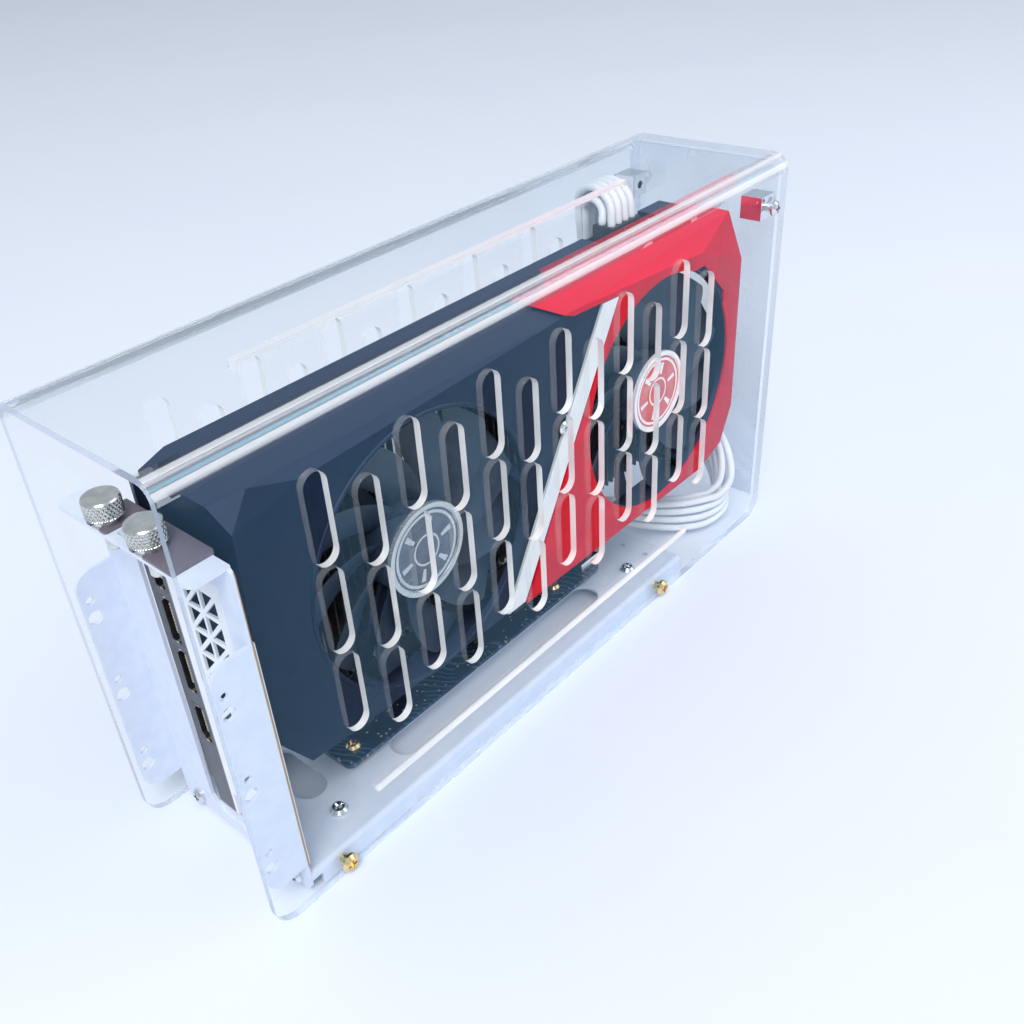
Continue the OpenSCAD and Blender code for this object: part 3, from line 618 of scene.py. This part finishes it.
PORT = PortShell(
    "port_shell_steel", (0.09, 0.09, 0.1), (0.14, 0.14, 0.15), 0.3, 0.12, 0.9, grain=2400, depth=0.008)
FIN = Finish(
    "stamped_aluminium_fins", (0.66, 0.67, 0.69), (0.55, 0.56, 0.6), 0.34, 0.14, 1.0, grain=1800, depth=0.01,
    stretch=(1.0, 4.0, 1.0))
COPPER = Finish(
    "drawn_copper", (0.75, 0.43, 0.27), (0.6, 0.33, 0.2), 0.28, 0.14, 1.0, grain=1800, depth=0.008)
# NAVY and RED carry painted light and shade: a lighter tone on facets that turn up, a darker one on those
# that turn to the rear or down
NAVY = FacingShadePaint(
    "navy_satin_shroud", (0.002, 0.01, 0.031), (0.003, 0.014, 0.04), 0.38, 0.08, grain=3000, depth=0.0003,
    mirror=0.12, dark=(0.0015, 0.006, 0.017), light=(0.03, 0.043, 0.084))
RED = FacingShadePaint(
    "red_satin_panel", (0.62, 0.003, 0.016), (0.52, 0.002, 0.012), 0.4, 0.08, grain=2200, depth=0.001,
    mirror=0.1, dark=(0.3, 0.001, 0.008), light=(0.84, 0.004, 0.032))
STRIP = Finish(
    "hairline_silver_strip", (0.78, 0.81, 0.8), (0.74, 0.77, 0.77), 0.34, 0.08, 0.3, grain=1600, depth=0.002)
FAN = Finish(
    "fan_satin_plastic", (0.02, 0.036, 0.062), (0.03, 0.048, 0.078), 0.42, 0.1, grain=2400, depth=0.004,
    mirror=0.3)
HUB_FRONT = HubDisc(
    "front_hub_disc", (0.1, 0.13, 0.17), (0.14, 0.17, 0.21), 0.26, 0.1, 0.6, grain=2400, depth=0.006,
    centre=FAN_CENTRES[0], ring=(0.5, 0.54, 0.56))
HUB_REAR = HubDisc(
    "rear_hub_disc", (0.7, 0.13, 0.13), (0.62, 0.1, 0.11), 0.3, 0.1, 0.2, grain=2400, depth=0.006,
    centre=FAN_CENTRES[1], ring=(0.88, 0.86, 0.86))
BLACK_PLATE = Finish(
    "black_anodised_plate", (0.022, 0.026, 0.034), (0.035, 0.04, 0.05), 0.38, 0.12, 0.4, grain=2600,
    depth=0.003)
JACKET = Finish(
    "white_wire_jacket", (0.88, 0.9, 0.94), (0.82, 0.85, 0.91), 0.38, 0.1, grain=1600, depth=0.015)
FLOOR_PAINT = Finish(
    "pale_floor_paint", (0.8, 0.84, 0.93), (0.78, 0.83, 0.93), 0.5, 0.1, grain=60.0, depth=0.0)

CARRIED: dict[Finish, tuple[str, ...]] = {
    BLACK_PLASTIC: ("pcie_slot", "power_output_socket", "card_power_socket", "card_plug", "board_plug",
                    "power_inlet"),
    STEEL: ("corner_block_screws", "tray_screws", "front_plate_screws", "backplate_screws", "shroud_screws",
            "fan_screws", "host_port"),
    GOLD: ("cover_screws", "board_screws", "board_standoffs"),
    RUBBER: ("rubber_feet",),
    BOARD: ("dock_board", "card_pcb"),
    WHITE_PLASTIC: ("slot_latch",),
    CHIP: ("board_chips", "memory_chips", "gpu_chip"),
    FERRITE: ("board_coils", "card_coils"),
    CAN: ("board_capacitors",),
    PORT: ("display_ports",),
    FIN: ("heatsink_fins",),
    COPPER: ("heat_pipes",),
    FAN: ("fan_frame_front", "fan_frame_rear"),
    HUB_FRONT: ("hub_cap_front",),
    HUB_REAR: ("hub_cap_rear",),
}


def grid_faces(rows: int, cols: int, round_rows: bool = False, round_cols: bool = False) -> np.ndarray:
    """Quads of a grid of points held row by row.

    Args:
        rows: points along the first parameter.
        cols: points along the second.
        round_rows: whether the last row joins the first.
        round_cols: whether the last column joins the first.

    Returns:
        Corner numbers, one face a line: each cell joins a point to the next row, then the next column.
    """
    i, j = np.meshgrid(np.arange(rows if round_rows else rows - 1),
                       np.arange(cols if round_cols else cols - 1), indexing="ij")
    i, j = i.ravel(), j.ravel()
    after_i, after_j = (i + 1) % rows, (j + 1) % cols
    return np.stack([i * cols + j, after_i * cols + j, after_i * cols + after_j, i * cols + after_j], axis=1)


def spline(points: np.ndarray, per_span: int) -> np.ndarray:
    """Smooth line through points.

    Each span is the cubic whose end slopes are half the step between its neighbours.

    Args:
        points: the points, one a line.
        per_span: samples in each span.

    Returns:
        The samples, the last point included.
    """
    p = np.asarray(points, float)
    padded = np.vstack([2 * p[0] - p[1], p, 2 * p[-1] - p[-2]])
    t = np.linspace(0, 1, per_span, endpoint=False)[None, :, None]
    a, b, c, d = (padded[k:len(p) - 1 + k, None, :] for k in range(4))
    bend, twist = 2 * a - 5 * b + 4 * c - d, 3 * b - a - 3 * c + d
    curve = 0.5 * (2 * b + (c - a) * t + bend * t ** 2 + twist * t ** 3)
    return np.vstack([curve.reshape(-1, p.shape[1]), p[-1:]])


def tangents(line: np.ndarray) -> np.ndarray:
    """Unit direction of a line at each of its points.

    Args:
        line: the points, one a line.

    Returns:
        The directions, one a line.
    """
    step = np.gradient(line, axis=0)
    return step / np.linalg.norm(step, axis=1, keepdims=True)


def tube(line: np.ndarray, radius: float, sides: int, lean: Point) -> tuple:
    """Round tube on a line: a ring of points stands square to the line at each sample.

    Args:
        line: centre points in millimetres.
        radius: the tube's radius.
        sides: points in a ring.
        lean: direction that sets the ring's first axis, and that the line never takes.

    Returns:
        Points and faces; both ends are closed by a face.
    """
    t = tangents(line)
    side = np.cross(t, np.array(lean, float))
    side /= np.linalg.norm(side, axis=1, keepdims=True)
    up = np.cross(side, t)
    angle = np.linspace(0, TURN, sides, endpoint=False)
    ring = np.cos(angle)[None, :, None] * side[:, None] + np.sin(angle)[None, :, None] * up[:, None]
    points = (line[:, None] + radius * ring).reshape(-1, 3)
    faces = grid_faces(len(line), sides, round_cols=True).tolist()
    last = (len(line) - 1) * sides
    return points, faces + [list(range(sides)), list(range(last + sides - 1, last - 1, -1))]


def turned(profile: np.ndarray, sides: int) -> tuple:
    """Solid of revolution about the second axis of a closed profile.

    Args:
        profile: radius and height of each corner, round the section.
        sides: steps round the axis.

    Returns:
        Points as x, height, z and the quads round it.
    """
    angle = np.linspace(0, TURN, sides, endpoint=False)
    r, h = profile[:, 0], profile[:, 1]
    points = np.stack([np.outer(np.cos(angle), r), np.broadcast_to(h, (sides, len(h))),
                       np.outer(np.sin(angle), r)], axis=-1)
    return points.reshape(-1, 3), grid_faces(sides, len(profile), True, True).tolist()


def added(name: str, data: bpy.types.ID) -> bpy.types.Object:
    """Puts a new object into the scene.

    Args:
        name: the object's name.
        data: its mesh, light or camera.

    Returns:
        The object, at the origin.
    """
    thing = bpy.data.objects.new(name, data)
    bpy.context.scene.collection.objects.link(thing)
    return thing


def face_values(mesh: bpy.types.Mesh, key: str) -> np.ndarray:
    """A value of three numbers for every face.

    Args:
        mesh: the mesh.
        key: normal or center.

    Returns:
        Three rows, with one column a face.
    """
    flat = np.zeros(len(mesh.polygons) * 3)
    mesh.polygons.foreach_get(key, flat)
    return flat.reshape(-1, 3).T


def make_piece(name: str, points: np.ndarray, faces: list, finish: Finish, body: Body,
               smooth_under: float = SHARP_DEGREES) -> bpy.types.Object:
    """Makes one piece of points given in the dock's millimetres.

    Args:
        name: the piece's name.
        points: its points.
        faces: its faces.
        finish: what it is finished with.
        body: the body it rides on.
        smooth_under: edges that turn less than this many degrees are shaded smooth.

    Returns:
        The new object, its place in its mesh.
    """
    mesh = bpy.data.meshes.new(name)
    mesh.from_pydata(place(points).tolist(), [], faces)
    piece = added(name, mesh)
    work = bmesh.new()
    work.from_mesh(mesh)
    bmesh.ops.remove_doubles(work, verts=work.verts, dist=WELD)
    bmesh.ops.recalc_face_normals(work, faces=work.faces)
    shade(work, smooth_under)
    work.to_mesh(mesh)
    work.free()
    mesh.materials.append(finish.build())
    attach(piece, body.value)
    LOG.info("%s: %d faces", name, len(mesh.polygons))
    return piece


def shade(work: bmesh.types.BMesh, smooth_under: float) -> None:
    """Shades a mesh smooth, with sharp edges where it turns more than the limit.

    Args:
        work: the mesh.
        smooth_under: the limit in degrees.
    """
    limit = math.radians(smooth_under)
    for face in work.faces:
        face.smooth = True
    for edge in work.edges:
        edge.smooth = len(edge.link_faces) == 2 and edge.calc_face_angle(0.0) < limit


def note_facing_shade(mesh: bpy.types.Mesh) -> None:
    """Writes the facet attribute that the painted light and shade follow: how far each face turns up, less
    how far it turns to the rear.

    Args:
        mesh: the mesh that gets the attribute.
    """
    # painted light and shade: faces turned up score high, faces turned to the rear or down score low
    nx, _, nz = face_values(mesh, "normal")
    tone = mesh.attributes.new(FACET, "FLOAT", "FACE")
    tone.data.foreach_set("value", (0.5 + 0.5 * (nz - REAR_SHADE_SHARE * np.maximum(nx, 0))).astype(np.float32))


def softened(node: str, name: str, finish: Finish | ClearSheet, width: float) -> bpy.types.Object:
    """A copy of one of the dock body's CAD nodes with its edges rounded over, standing for the node.

    Args:
        node: the CAD node.
        name: the piece's name.
        finish: what it is finished with.
        width: how far each edge is rounded, in millimetres.

    Returns:
        The new object.
    """
    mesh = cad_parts[node].data.copy()
    mesh.name = name
    mesh.materials.clear()
    if mesh.has_custom_normals:
        mesh.attributes.remove(mesh.attributes["custom_normal"])
    piece = added(name, mesh)
    work = bmesh.new()
    work.from_mesh(mesh)
    bmesh.ops.remove_doubles(work, verts=work.verts, dist=WELD)
    bmesh.ops.dissolve_limit(work, angle_limit=math.radians(FLAT_DEGREES), verts=work.verts, edges=work.edges)
    shade(work, SHARP_DEGREES)
    work.to_mesh(mesh)
    work.free()
    mesh.materials.append(finish.build())
    if isinstance(finish, FacingShadePaint):
        note_facing_shade(mesh)
    bevel = piece.modifiers.new("rounded_edges", "BEVEL")
    bevel.width = width * MM
    bevel.segments = BEVEL_STEPS
    bevel.limit_method = "ANGLE"
    bevel.angle_limit = math.radians(SHARP_DEGREES)
    bevel.harden_normals = True
    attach(piece, Body.DOCK.value)
    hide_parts(node)
    LOG.info("%s stands for %s", name, node)
    return piece


@dataclass
class ClearCover:
    """The bent cover and its end panel, with slot walls whose white haze stands partly for frosted cut edges
    and partly paints the bright refraction in them.
    """

    edge_round: float = 0.18
    block_round: float = 0.5
    skin: float = 2.6
    wall_slots_z: Pair = (15.0, 148.0)
    top_slot_y: Pair = (30.0, 42.0)
    slot_end_gap: float = 10.0
    rim_gap: float = 9.0
    foot_z: float = 3.0
    across: float = 0.2
    outward: float = 0.5

    def build(self) -> None:
        """Makes both clear pieces and their corner blocks."""
        for node, name in (("acrylic_cover", "bent_clear_cover"), ("rear_panel", "clear_end_panel")):
            sheet = softened(node, name, ACRYLIC, self.edge_round)
            sheet.data.materials.append(CUT_EDGE.build())
            sheet.data.materials.append(RIM.build())
            self.mark_edges(sheet.data)
        softened("corner_blocks", "tapped_corner_blocks", CHROME, self.block_round)

    def mark_edges(self, mesh: bpy.types.Mesh) -> None:
        """Gives the sheets' edge faces their own finishes.

        Faces that cut through a wall or the top, well inside the sheet's outline, are slot walls. Faces that
        look to the front, the rear or down at the dock's own limits are the outer rim.

        Args:
            mesh: the sheet, whose second finish is for slot walls and third for the rim.
        """
        nx, ny, nz = face_values(mesh, "normal")
        x, y, z = face_values(mesh, "center") / MM + ORIGIN[:, None]
        long, wide, high = DOCK_SIZE
        (low_z, top_z), (near_y, far_y) = self.wall_slots_z, self.top_slot_y
        in_skin = (y < self.skin) | (y > wide - self.skin)
        in_wall = in_skin & (abs(ny) < self.across) & (z > low_z) & (z < top_z)
        in_top = (z > high - self.skin) & (abs(nz) < self.across) & (y > near_y) & (y < far_y)
        cut = (in_wall | in_top) & (x > self.slot_end_gap) & (x < long - self.slot_end_gap)
        front = (nx < -self.outward) & (x < self.rim_gap)
        rear = (nx > self.outward) & (x > long - self.rim_gap)
        under = (nz < -self.outward) & (z < self.foot_z)
        kind = np.where(cut, 1, np.where(front | rear | under, 2, 0))
        mesh.polygons.foreach_set("material_index", kind.astype(np.int32))


@dataclass
class Chassis:
    """White folded tray, front plate and bracket."""

    sheet_round: float = 0.3
    bracket_round: float = 0.12

    def build(self) -> None:
        """Makes the painted sheet metal with softened folds."""
        softened("base_tray", "folded_base_tray", POWDER, self.sheet_round)
        softened("front_plate", "folded_front_plate", POWDER, self.sheet_round)
        softened("card_bracket", "card_end_bracket", BRACKET_PAINT, self.bracket_round)


@dataclass
class Thumbscrew:
    """Turned screw with a diamond-knurled head."""

    name: str
    node: str
    body: Body
    centre: Pair
    seat: float = 128.6
    starts: int = 26
    depth: float = 0.28
    slant: float = 3.4
    step: float = 0.18
    steps_a_groove: int = 8
    smooth_under: float = 25.0
    band_z: Pair = (2.3, 7.0)
    band_r: float = 5.0
    section: Corners = (
        (0.01, 7.8), (4.4, 7.8), (4.95, 7.55), (5.3, 7.1), (5.3, 2.2), (4.95, 1.75), (3.7, 1.6), (3.7, 0.0),
        (1.95, 0.0), (1.95, -8.4), (1.5, -9.0), (0.01, -9.0))

    def build(self) -> None:
        """Turns the head and shank and cuts the head's rim by two families of helical grooves.

        The radius drops by the depth times the greater of two cosines, one leaning each way, where it is
        over nought.
        """
        profile = stepped_profile(self.section, self.step)
        sides = self.starts * self.steps_a_groove
        angle = np.linspace(0, TURN, sides, endpoint=False)[:, None]
        r, h = profile[None, :, 0], profile[None, :, 1]
        low, high = self.band_z
        band = ((h > low) & (h < high) & (r > self.band_r)).astype(float)
        lean = np.cos(self.starts * angle + h * self.slant), np.cos(self.starts * angle - h * self.slant)
        cut = band * self.depth * np.clip(np.maximum(*lean), 0, 1)
        radius = r - cut
        points = np.stack([self.centre[0] + radius * np.cos(angle), self.centre[1] + radius * np.sin(angle),
                           self.seat + np.broadcast_to(h, radius.shape)], axis=-1)
        faces = grid_faces(sides, profile.shape[0], round_rows=True).tolist()
        piece = make_piece(self.name, points.reshape(-1, 3), faces, NICKEL, self.body,
                           self.smooth_under)
        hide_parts(self.node)


def stepped_profile(corners: Corners, step: float) -> np.ndarray:
    """Points along straight runs between corners.

    Args:
        corners: the corners, in order.
        step: the widest gap between two points.

    Returns:
        The points, every corner among them.
    """
    line = np.array(corners, float)
    length = np.linalg.norm(np.diff(line, axis=0), axis=1)
    run = np.concatenate([[0], np.cumsum(length)])
    at = np.unique(np.concatenate([run, np.arange(0, run[-1], step)]))
    return np.stack([np.interp(at, run, line[:, k]) for k in range(2)], axis=1)


@dataclass
class FanRotor:
    """Eleven swept blades on a hub, with a dished face."""

    name: str
    node: str
    body: Body
    centre: Pair
    face_y: float = 9.8
    hub_r: float = 16.0
    tip_r: float = 44.3
    blades: int = 11
    thickness: float = 0.9
    root_r: float = 15.0
    tip_round: float = 1.7
    chord_points: int = 15
    lean_deg: Pair = (-6.0, 26.0)
    chord_deg: Pair = (30.0, 7.0)
    front_gap: float = 1.2
    fall: Pair = (6.6, 1.6)
    arch: float = 0.9
    taper_from: float = 0.9
    taper_share: float = 0.16
    smooth_under: float = 40.0
    hub_sides: int = 96
    hub_section: Corners = (
        (0.01, 0.0), (15.2, 0.0), (15.7, 0.15), (16.0, 0.6), (16.0, 10.2), (14.6, 10.2), (14.6, 4.0),
        (4.0, 4.0), (4.0, 10.2), (1.6, 10.2), (1.6, 0.8), (0.01, 0.8))

    def blade(self) -> tuple[np.ndarray, np.ndarray]:
        """One blade as a closed skin over radius and chord.

        The angle leans and the chord narrows from root to tip, and the depth falls across the chord with a
        shallow arch. The skin runs along one face and back along the other, and thins to its two edges by a
        power of a sine.

        Returns:
            The points by radius and place round the skin, and its quads.
        """
        tip = self.tip_r - self.tip_round * (1 - np.sin(np.linspace(0.2, 1.57, 6)))
        r = np.concatenate([np.linspace(self.root_r, self.tip_r - self.tip_round, 24), tip])
        chord = np.linspace(0, 1, self.chord_points)
        around = np.concatenate([chord, chord[::-1]])
        back = np.repeat([1.0, 0.0], self.chord_points)[None, :]
        u = ((r - self.hub_r) / (self.tip_r - self.hub_r))[:, None]
        k = around[None, :]
        taper = 1 - self.taper_share * np.clip((u - self.taper_from) / (1 - self.taper_from), 0, 1) ** 2
        (start, lean), (width, loss), (fall, ease) = self.lean_deg, self.chord_deg, self.fall
        angle = np.radians(start + lean * u + (k - 0.5) * (width - loss * u) * taper)
        edge = np.sin(np.pi * np.clip(k, 0.02, 0.98)) ** 0.35
        depth = self.front_gap + k * (fall - ease * u) + np.sin(np.pi * k) * self.arch \
            + self.thickness * (0.5 + (back - 0.5) * edge)
        points = np.stack([r[:, None] * np.cos(angle), np.broadcast_to(depth, angle.shape),
                           r[:, None] * np.sin(angle)], axis=-1)
        return points, grid_faces(len(r), len(around), round_cols=True)

    def build(self) -> None:
        """Turns the blade round the hub and adds the turned hub to it."""
        skin, cells = self.blade()
        flat = skin.reshape(-1, 3)
        turn = np.arange(self.blades) * TURN / self.blades
        cos, sin = np.cos(turn)[:, None], np.sin(turn)[:, None]
        depth = np.broadcast_to(flat[:, 1], (self.blades, len(flat)))
        around = np.stack([flat[:, 0] * cos - flat[:, 2] * sin, depth, flat[:, 0] * sin + flat[:, 2] * cos],
                          axis=-1)
        faces = (cells[None] + (np.arange(self.blades) * len(flat))[:, None, None]).reshape(-1, 4).tolist()
        per, size = skin.shape[1], len(flat)
        faces += [[b * size + size - per + k for k in range(per)] for b in range(self.blades)]
        hub, hub_faces = turned(np.array(self.hub_section), self.hub_sides)
        start = self.blades * size
        faces += [[start + k for k in face] for face in hub_faces]
        x, z = self.centre
        points = np.vstack([around.reshape(-1, 3), hub]) + np.array([x, self.face_y, z])
        piece = make_piece(self.name, points, faces, FAN, self.body, self.smooth_under)
        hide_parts(self.node)


@dataclass
class CardShell:
    """Shroud, red panel, strip, fans and backplate of the card."""

    shroud_round: float = 0.35
    panel_round: float = 0.2
    lip_r: float = 45.5
    lip_half: float = 0.75
    lip_rise: float = 0.55
    lip_sunk: float = 0.4
    lip_sides: int = 128
    face_y: float = 7.6

    def build(self) -> None:
        """Makes the card's visible shells."""
        softened("shroud", "faceted_navy_shroud", NAVY, self.shroud_round)
        softened("red_shroud_panel", "red_side_panel", RED, self.panel_round)
        softened("diagonal_strip", "slanted_silver_strip", STRIP, self.panel_round)
        softened("backplate", "slotted_black_backplate", BLACK_PLATE, self.panel_round)
        self.lips()
        for end, body, centre in zip(ENDS, (Body.FRONT_FAN, Body.REAR_FAN), FAN_CENTRES):
            FanRotor(f"{end}_fan_blades", f"fan_rotor_{end}", body, centre).build()

    def lips(self) -> None:
        """A rounded lip turned round each fan opening, carried on the shroud's edge."""
        a = np.linspace(0, math.pi, 9)
        half, foot = self.lip_half, self.face_y + self.lip_sunk
        rolled = np.stack([self.lip_r + half - half * np.cos(a), self.face_y - self.lip_rise * np.sin(a)],
                          axis=1)
        section = np.vstack([rolled, [[self.lip_r + 2 * half, foot], [self.lip_r, foot]]])
        points, faces = turned(section, self.lip_sides)
        for end, (x, z) in zip(ENDS, FAN_CENTRES):
            moved = points + np.array([x, 0.0, z])
            ring = make_piece(f"{end}_fan_lip", moved, faces, NAVY, Body.DOCK)
            note_facing_shade(ring.data)


@dataclass
class PowerHarness:
    """Eight white wires from the card's plug, over the backplate and down to the board's plug."""

    wire_r: float = 1.5
    wire_sides: int = 12
    columns: int = 4
    rows: int = 2
    plug: Point = (232.0, 43.0, 143.2)
    pitch: float = 4.2
    gather: float = 2.9
    lead: float = 1.2
    rises: Pair = (10.3, 6.0)
    arch_points: int = 7
    per_span: int = 8
    lean: Point = (0.8, 0.6, 0.05)
    sleeve_at: Point = (204.0, 49.0, 19.3)
    sleeve_sides: int = 40
    sleeve: Corners = (
        (4.6, 0.0), (4.9, 0.6), (4.7, 5.0), (4.2, 7.6), (3.4, 8.0), (3.0, 7.6), (3.0, 0.0))

    def route(self) -> tuple[np.ndarray, np.ndarray, np.ndarray]:
        """The gathered wires' way to the board.

        Returns:
            Their middle line, the way their thin side faces, and how widely they spread.
        """
        points = np.array([
            [240, 61.5, 143.2], [240, 61.5, 139], [242, 62.6, 127], [245, 63.2, 112], [248.5, 63.4, 97],
            [254, 63.2, 84], [261.5, 62, 74], [268.5, 59, 66.5], [271.9, 52.5, 61], [272.1, 43, 54.5],
            [272, 33, 48], [271.6, 24, 40.5], [270.8, 16.5, 31], [268, 11, 21], [262, 9.4, 13.5],
            [254, 12, 11.5], [245.5, 18, 11.6], [237.5, 25.5, 12.9], [230, 33, 14.9], [222.5, 40, 17.2],
            [214.5, 46.4, 18.9], [210, 48.6, 19.3], [206, 49, 19.3]])
        thin = np.array([
            *[[0, 1, 0]] * 6, [0.3, 0.95, 0], [0.7, 0.7, 0], [0.95, 0.3, 0], *[[1, 0, 0]] * 3,
            [0.95, -0.3, 0], [0.7, -0.7, 0], [0.2, -0.98, 0], [-0.3, -0.95, 0], [-0.6, -0.8, 0],
            *[[-0.7, -0.7, 0]] * 3, [-0.5, -0.86, 0], [-0.1, -1, 0], [0, -1, 0]])
        spread = np.array([1.2, 1.15, 1.05, 1, 1, 1, 1, 1, 1, 1.02, 1.08, 1.2, 1.4, 1.6, 1.6, 1.5, 1.45, 1.35,
                           1.2, 1.0, 0.8, 0.62, 0.6])
        return points, thin, spread

    def strand(self, i: int, j: int) -> np.ndarray:
        """Middle line of the wire in column i and row j.

        It rises from its pin on a half circle to the gathering point, then keeps its place in the ribbon: its
        column times the wide direction and its row times the thin one.

        Args:
            i: column in the plug.
            j: row in the plug.

        Returns:
            Points in millimetres.
        """
        points, thin, spread = self.route()
        wide = np.cross(tangents(points), thin)
        wide /= np.linalg.norm(wide, axis=1, keepdims=True)
        thin = thin / np.linalg.norm(thin, axis=1, keepdims=True)
        column, row = i - (self.columns - 1) / 2, j - (self.rows - 1) / 2
        room = (self.gather * spread)[:, None]
        ribbon = points + column * room * wide - row * room * thin
        start = np.array(self.plug) + np.array([column, row, 0.0]) * self.pitch
        end = ribbon[0]
        a = np.linspace(math.pi, 0, self.arch_points)[:, None]
        u = np.linspace(0, 1, self.arch_points)[:, None]
        crown = np.hstack([start[0] * (1 - u) + end[0] * u,
                           (start[1] + end[1]) / 2 + (end[1] - start[1]) / 2 * np.cos(a),
                           start[2] + self.lead + self.rises[j] * np.sin(a)])
        return spline(np.vstack([start[None], crown, ribbon[1:]]), self.per_span)

    def build(self) -> None:
        """Makes the wires, and the sleeve that gathers them at the board's plug."""
        pins = [(i, j) for i in range(self.columns) for j in range(self.rows)]
        for number, (i, j) in enumerate(pins, start=1):
            points, faces = tube(self.strand(i, j), self.wire_r, self.wire_sides, self.lean)
            piece = make_piece(f"power_wire_{number}", points, faces, JACKET, Body.DOCK)
            if number == 1:
                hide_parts("power_wires", "power_bundle")
        points, faces = turned(np.array(self.sleeve), self.sleeve_sides)
        lying = points[:, [1, 0, 2]] + np.array(self.sleeve_at)
        make_piece("board_plug_sleeve", lying, faces, BLACK_PLASTIC, Body.DOCK)


def carry_over() -> None:
    """Gives every CAD node that stays in view its finish."""
    for finish, nodes in CARRIED.items():
        for node in nodes:
            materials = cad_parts[node].data.materials
            materials.clear()
            materials.append(finish.build())


@dataclass
class Studio:
    """Camera at the photo's angle, pale floor and soft light."""

    azimuth: float = -45.16
    elevation: float = 34.415
    roll: float = -5.086
    focal_px: float = 1047.02
    axis_px: Pair = (475.88, 524.77)
    stand: Point = (-0.2303, -0.2230, 0.2766)
    sensor: float = 36.0
    near_clip: float = 0.01
    target: Point = (0.0, 0.0, 0.07)
    floor_half: float = 4.0
    floor_points: int = 9
    sky: Colour = (0.86, 0.92, 1.0)
    sky_strength: float = 0.62

    def camera(self) -> None:
        """Sets the camera from its angles; the shift puts the optical axis at its place in the picture."""
        a, e, r = (math.radians(v) for v in (self.azimuth, self.elevation, self.roll))
        back = Vector((math.sin(a) * math.cos(e), -math.cos(a) * math.cos(e), math.sin(e)))
        right = Vector((math.cos(a), math.sin(a), 0.0))
        up = back.cross(right)
        right, up = math.cos(r) * right + math.sin(r) * up, math.cos(r) * up - math.sin(r) * right
        data = bpy.data.cameras.new("photo_camera")
        data.sensor_width = self.sensor
        data.lens = self.focal_px / PHOTO_PX * self.sensor
        data.shift_x = (PHOTO_PX / 2 - self.axis_px[0]) / PHOTO_PX
        data.shift_y = (self.axis_px[1] - PHOTO_PX / 2) / PHOTO_PX
        data.clip_start = self.near_clip
        camera = added("photo_camera", data)
        camera.matrix_world = Matrix.Translation(self.stand) @ Matrix((right, up, back)).transposed().to_4x4()
        bpy.context.scene.camera = camera

    def lamp(self, name: str, spot: Point, size: float, power: float, colour: Colour) -> None:
        """Adds one square soft lamp that faces the dock's middle.

        Args:
            name: the lamp's name.
            spot: where it hangs, in metres.
            size: its side in metres.
            power: its power in watts.
            colour: its light's colour.
        """
        data = bpy.data.lights.new(name, "AREA")
        data.size = size
        data.energy = power
        data.color = colour
        lamp = added(name, data)
        lamp.location = spot
        lamp.rotation_euler = (Vector(self.target) - Vector(spot)).to_track_quat("-Z", "Y").to_euler()

    def floor(self) -> None:
        """A wide pale floor, level with what the dock stands on."""
        count = self.floor_points
        across = np.linspace(-self.floor_half, self.floor_half, count)
        x, y = np.meshgrid(across, across, indexing="ij")
        points = np.stack([x, y, np.zeros_like(x)], axis=-1).reshape(-1, 3)
        mesh = bpy.data.meshes.new("pale_floor")
        mesh.from_pydata(points.tolist(), [], grid_faces(count, count)[:, ::-1].tolist())
        mesh.materials.append(FLOOR_PAINT.build())
        added("pale_floor", mesh)

    def build(self) -> None:
        """Sets up the camera, floor, lamps and world."""
        self.camera()
        self.floor()
        self.lamp("key_lamp", spot=(-1.5, -1.2, 2.6), size=1.5, power=72.0, colour=(1.0, 0.99, 0.97))
        self.lamp("fill_lamp", spot=(0.9, -0.9, 0.9), size=1.0, power=4.0, colour=(0.93, 0.96, 1.0))
        world = bpy.data.worlds.new("soft_sky")
        world.use_nodes = True
        sky = world.node_tree.nodes["Background"]
        sky.inputs["Color"].default_value = (*self.sky, 1.0)
        sky.inputs["Strength"].default_value = self.sky_strength
        bpy.context.scene.world = world
        bpy.context.scene.view_settings.view_transform = "Standard"


def main() -> None:
    logging.basicConfig(level=logging.INFO, format="%(message)s")
    Studio().build()
    PowerHarness().build()
    ClearCover().build()
    Chassis().build()
    Thumbscrew("far_knurled_screw", "thumbscrew_far", Body.FAR_SCREW, (8.2, 46.6)).build()
    Thumbscrew("near_knurled_screw", "thumbscrew_near", Body.NEAR_SCREW, (8.2, 26.3)).build()
    CardShell().build()
    carry_over()


if __name__ == "__main__":
    main()
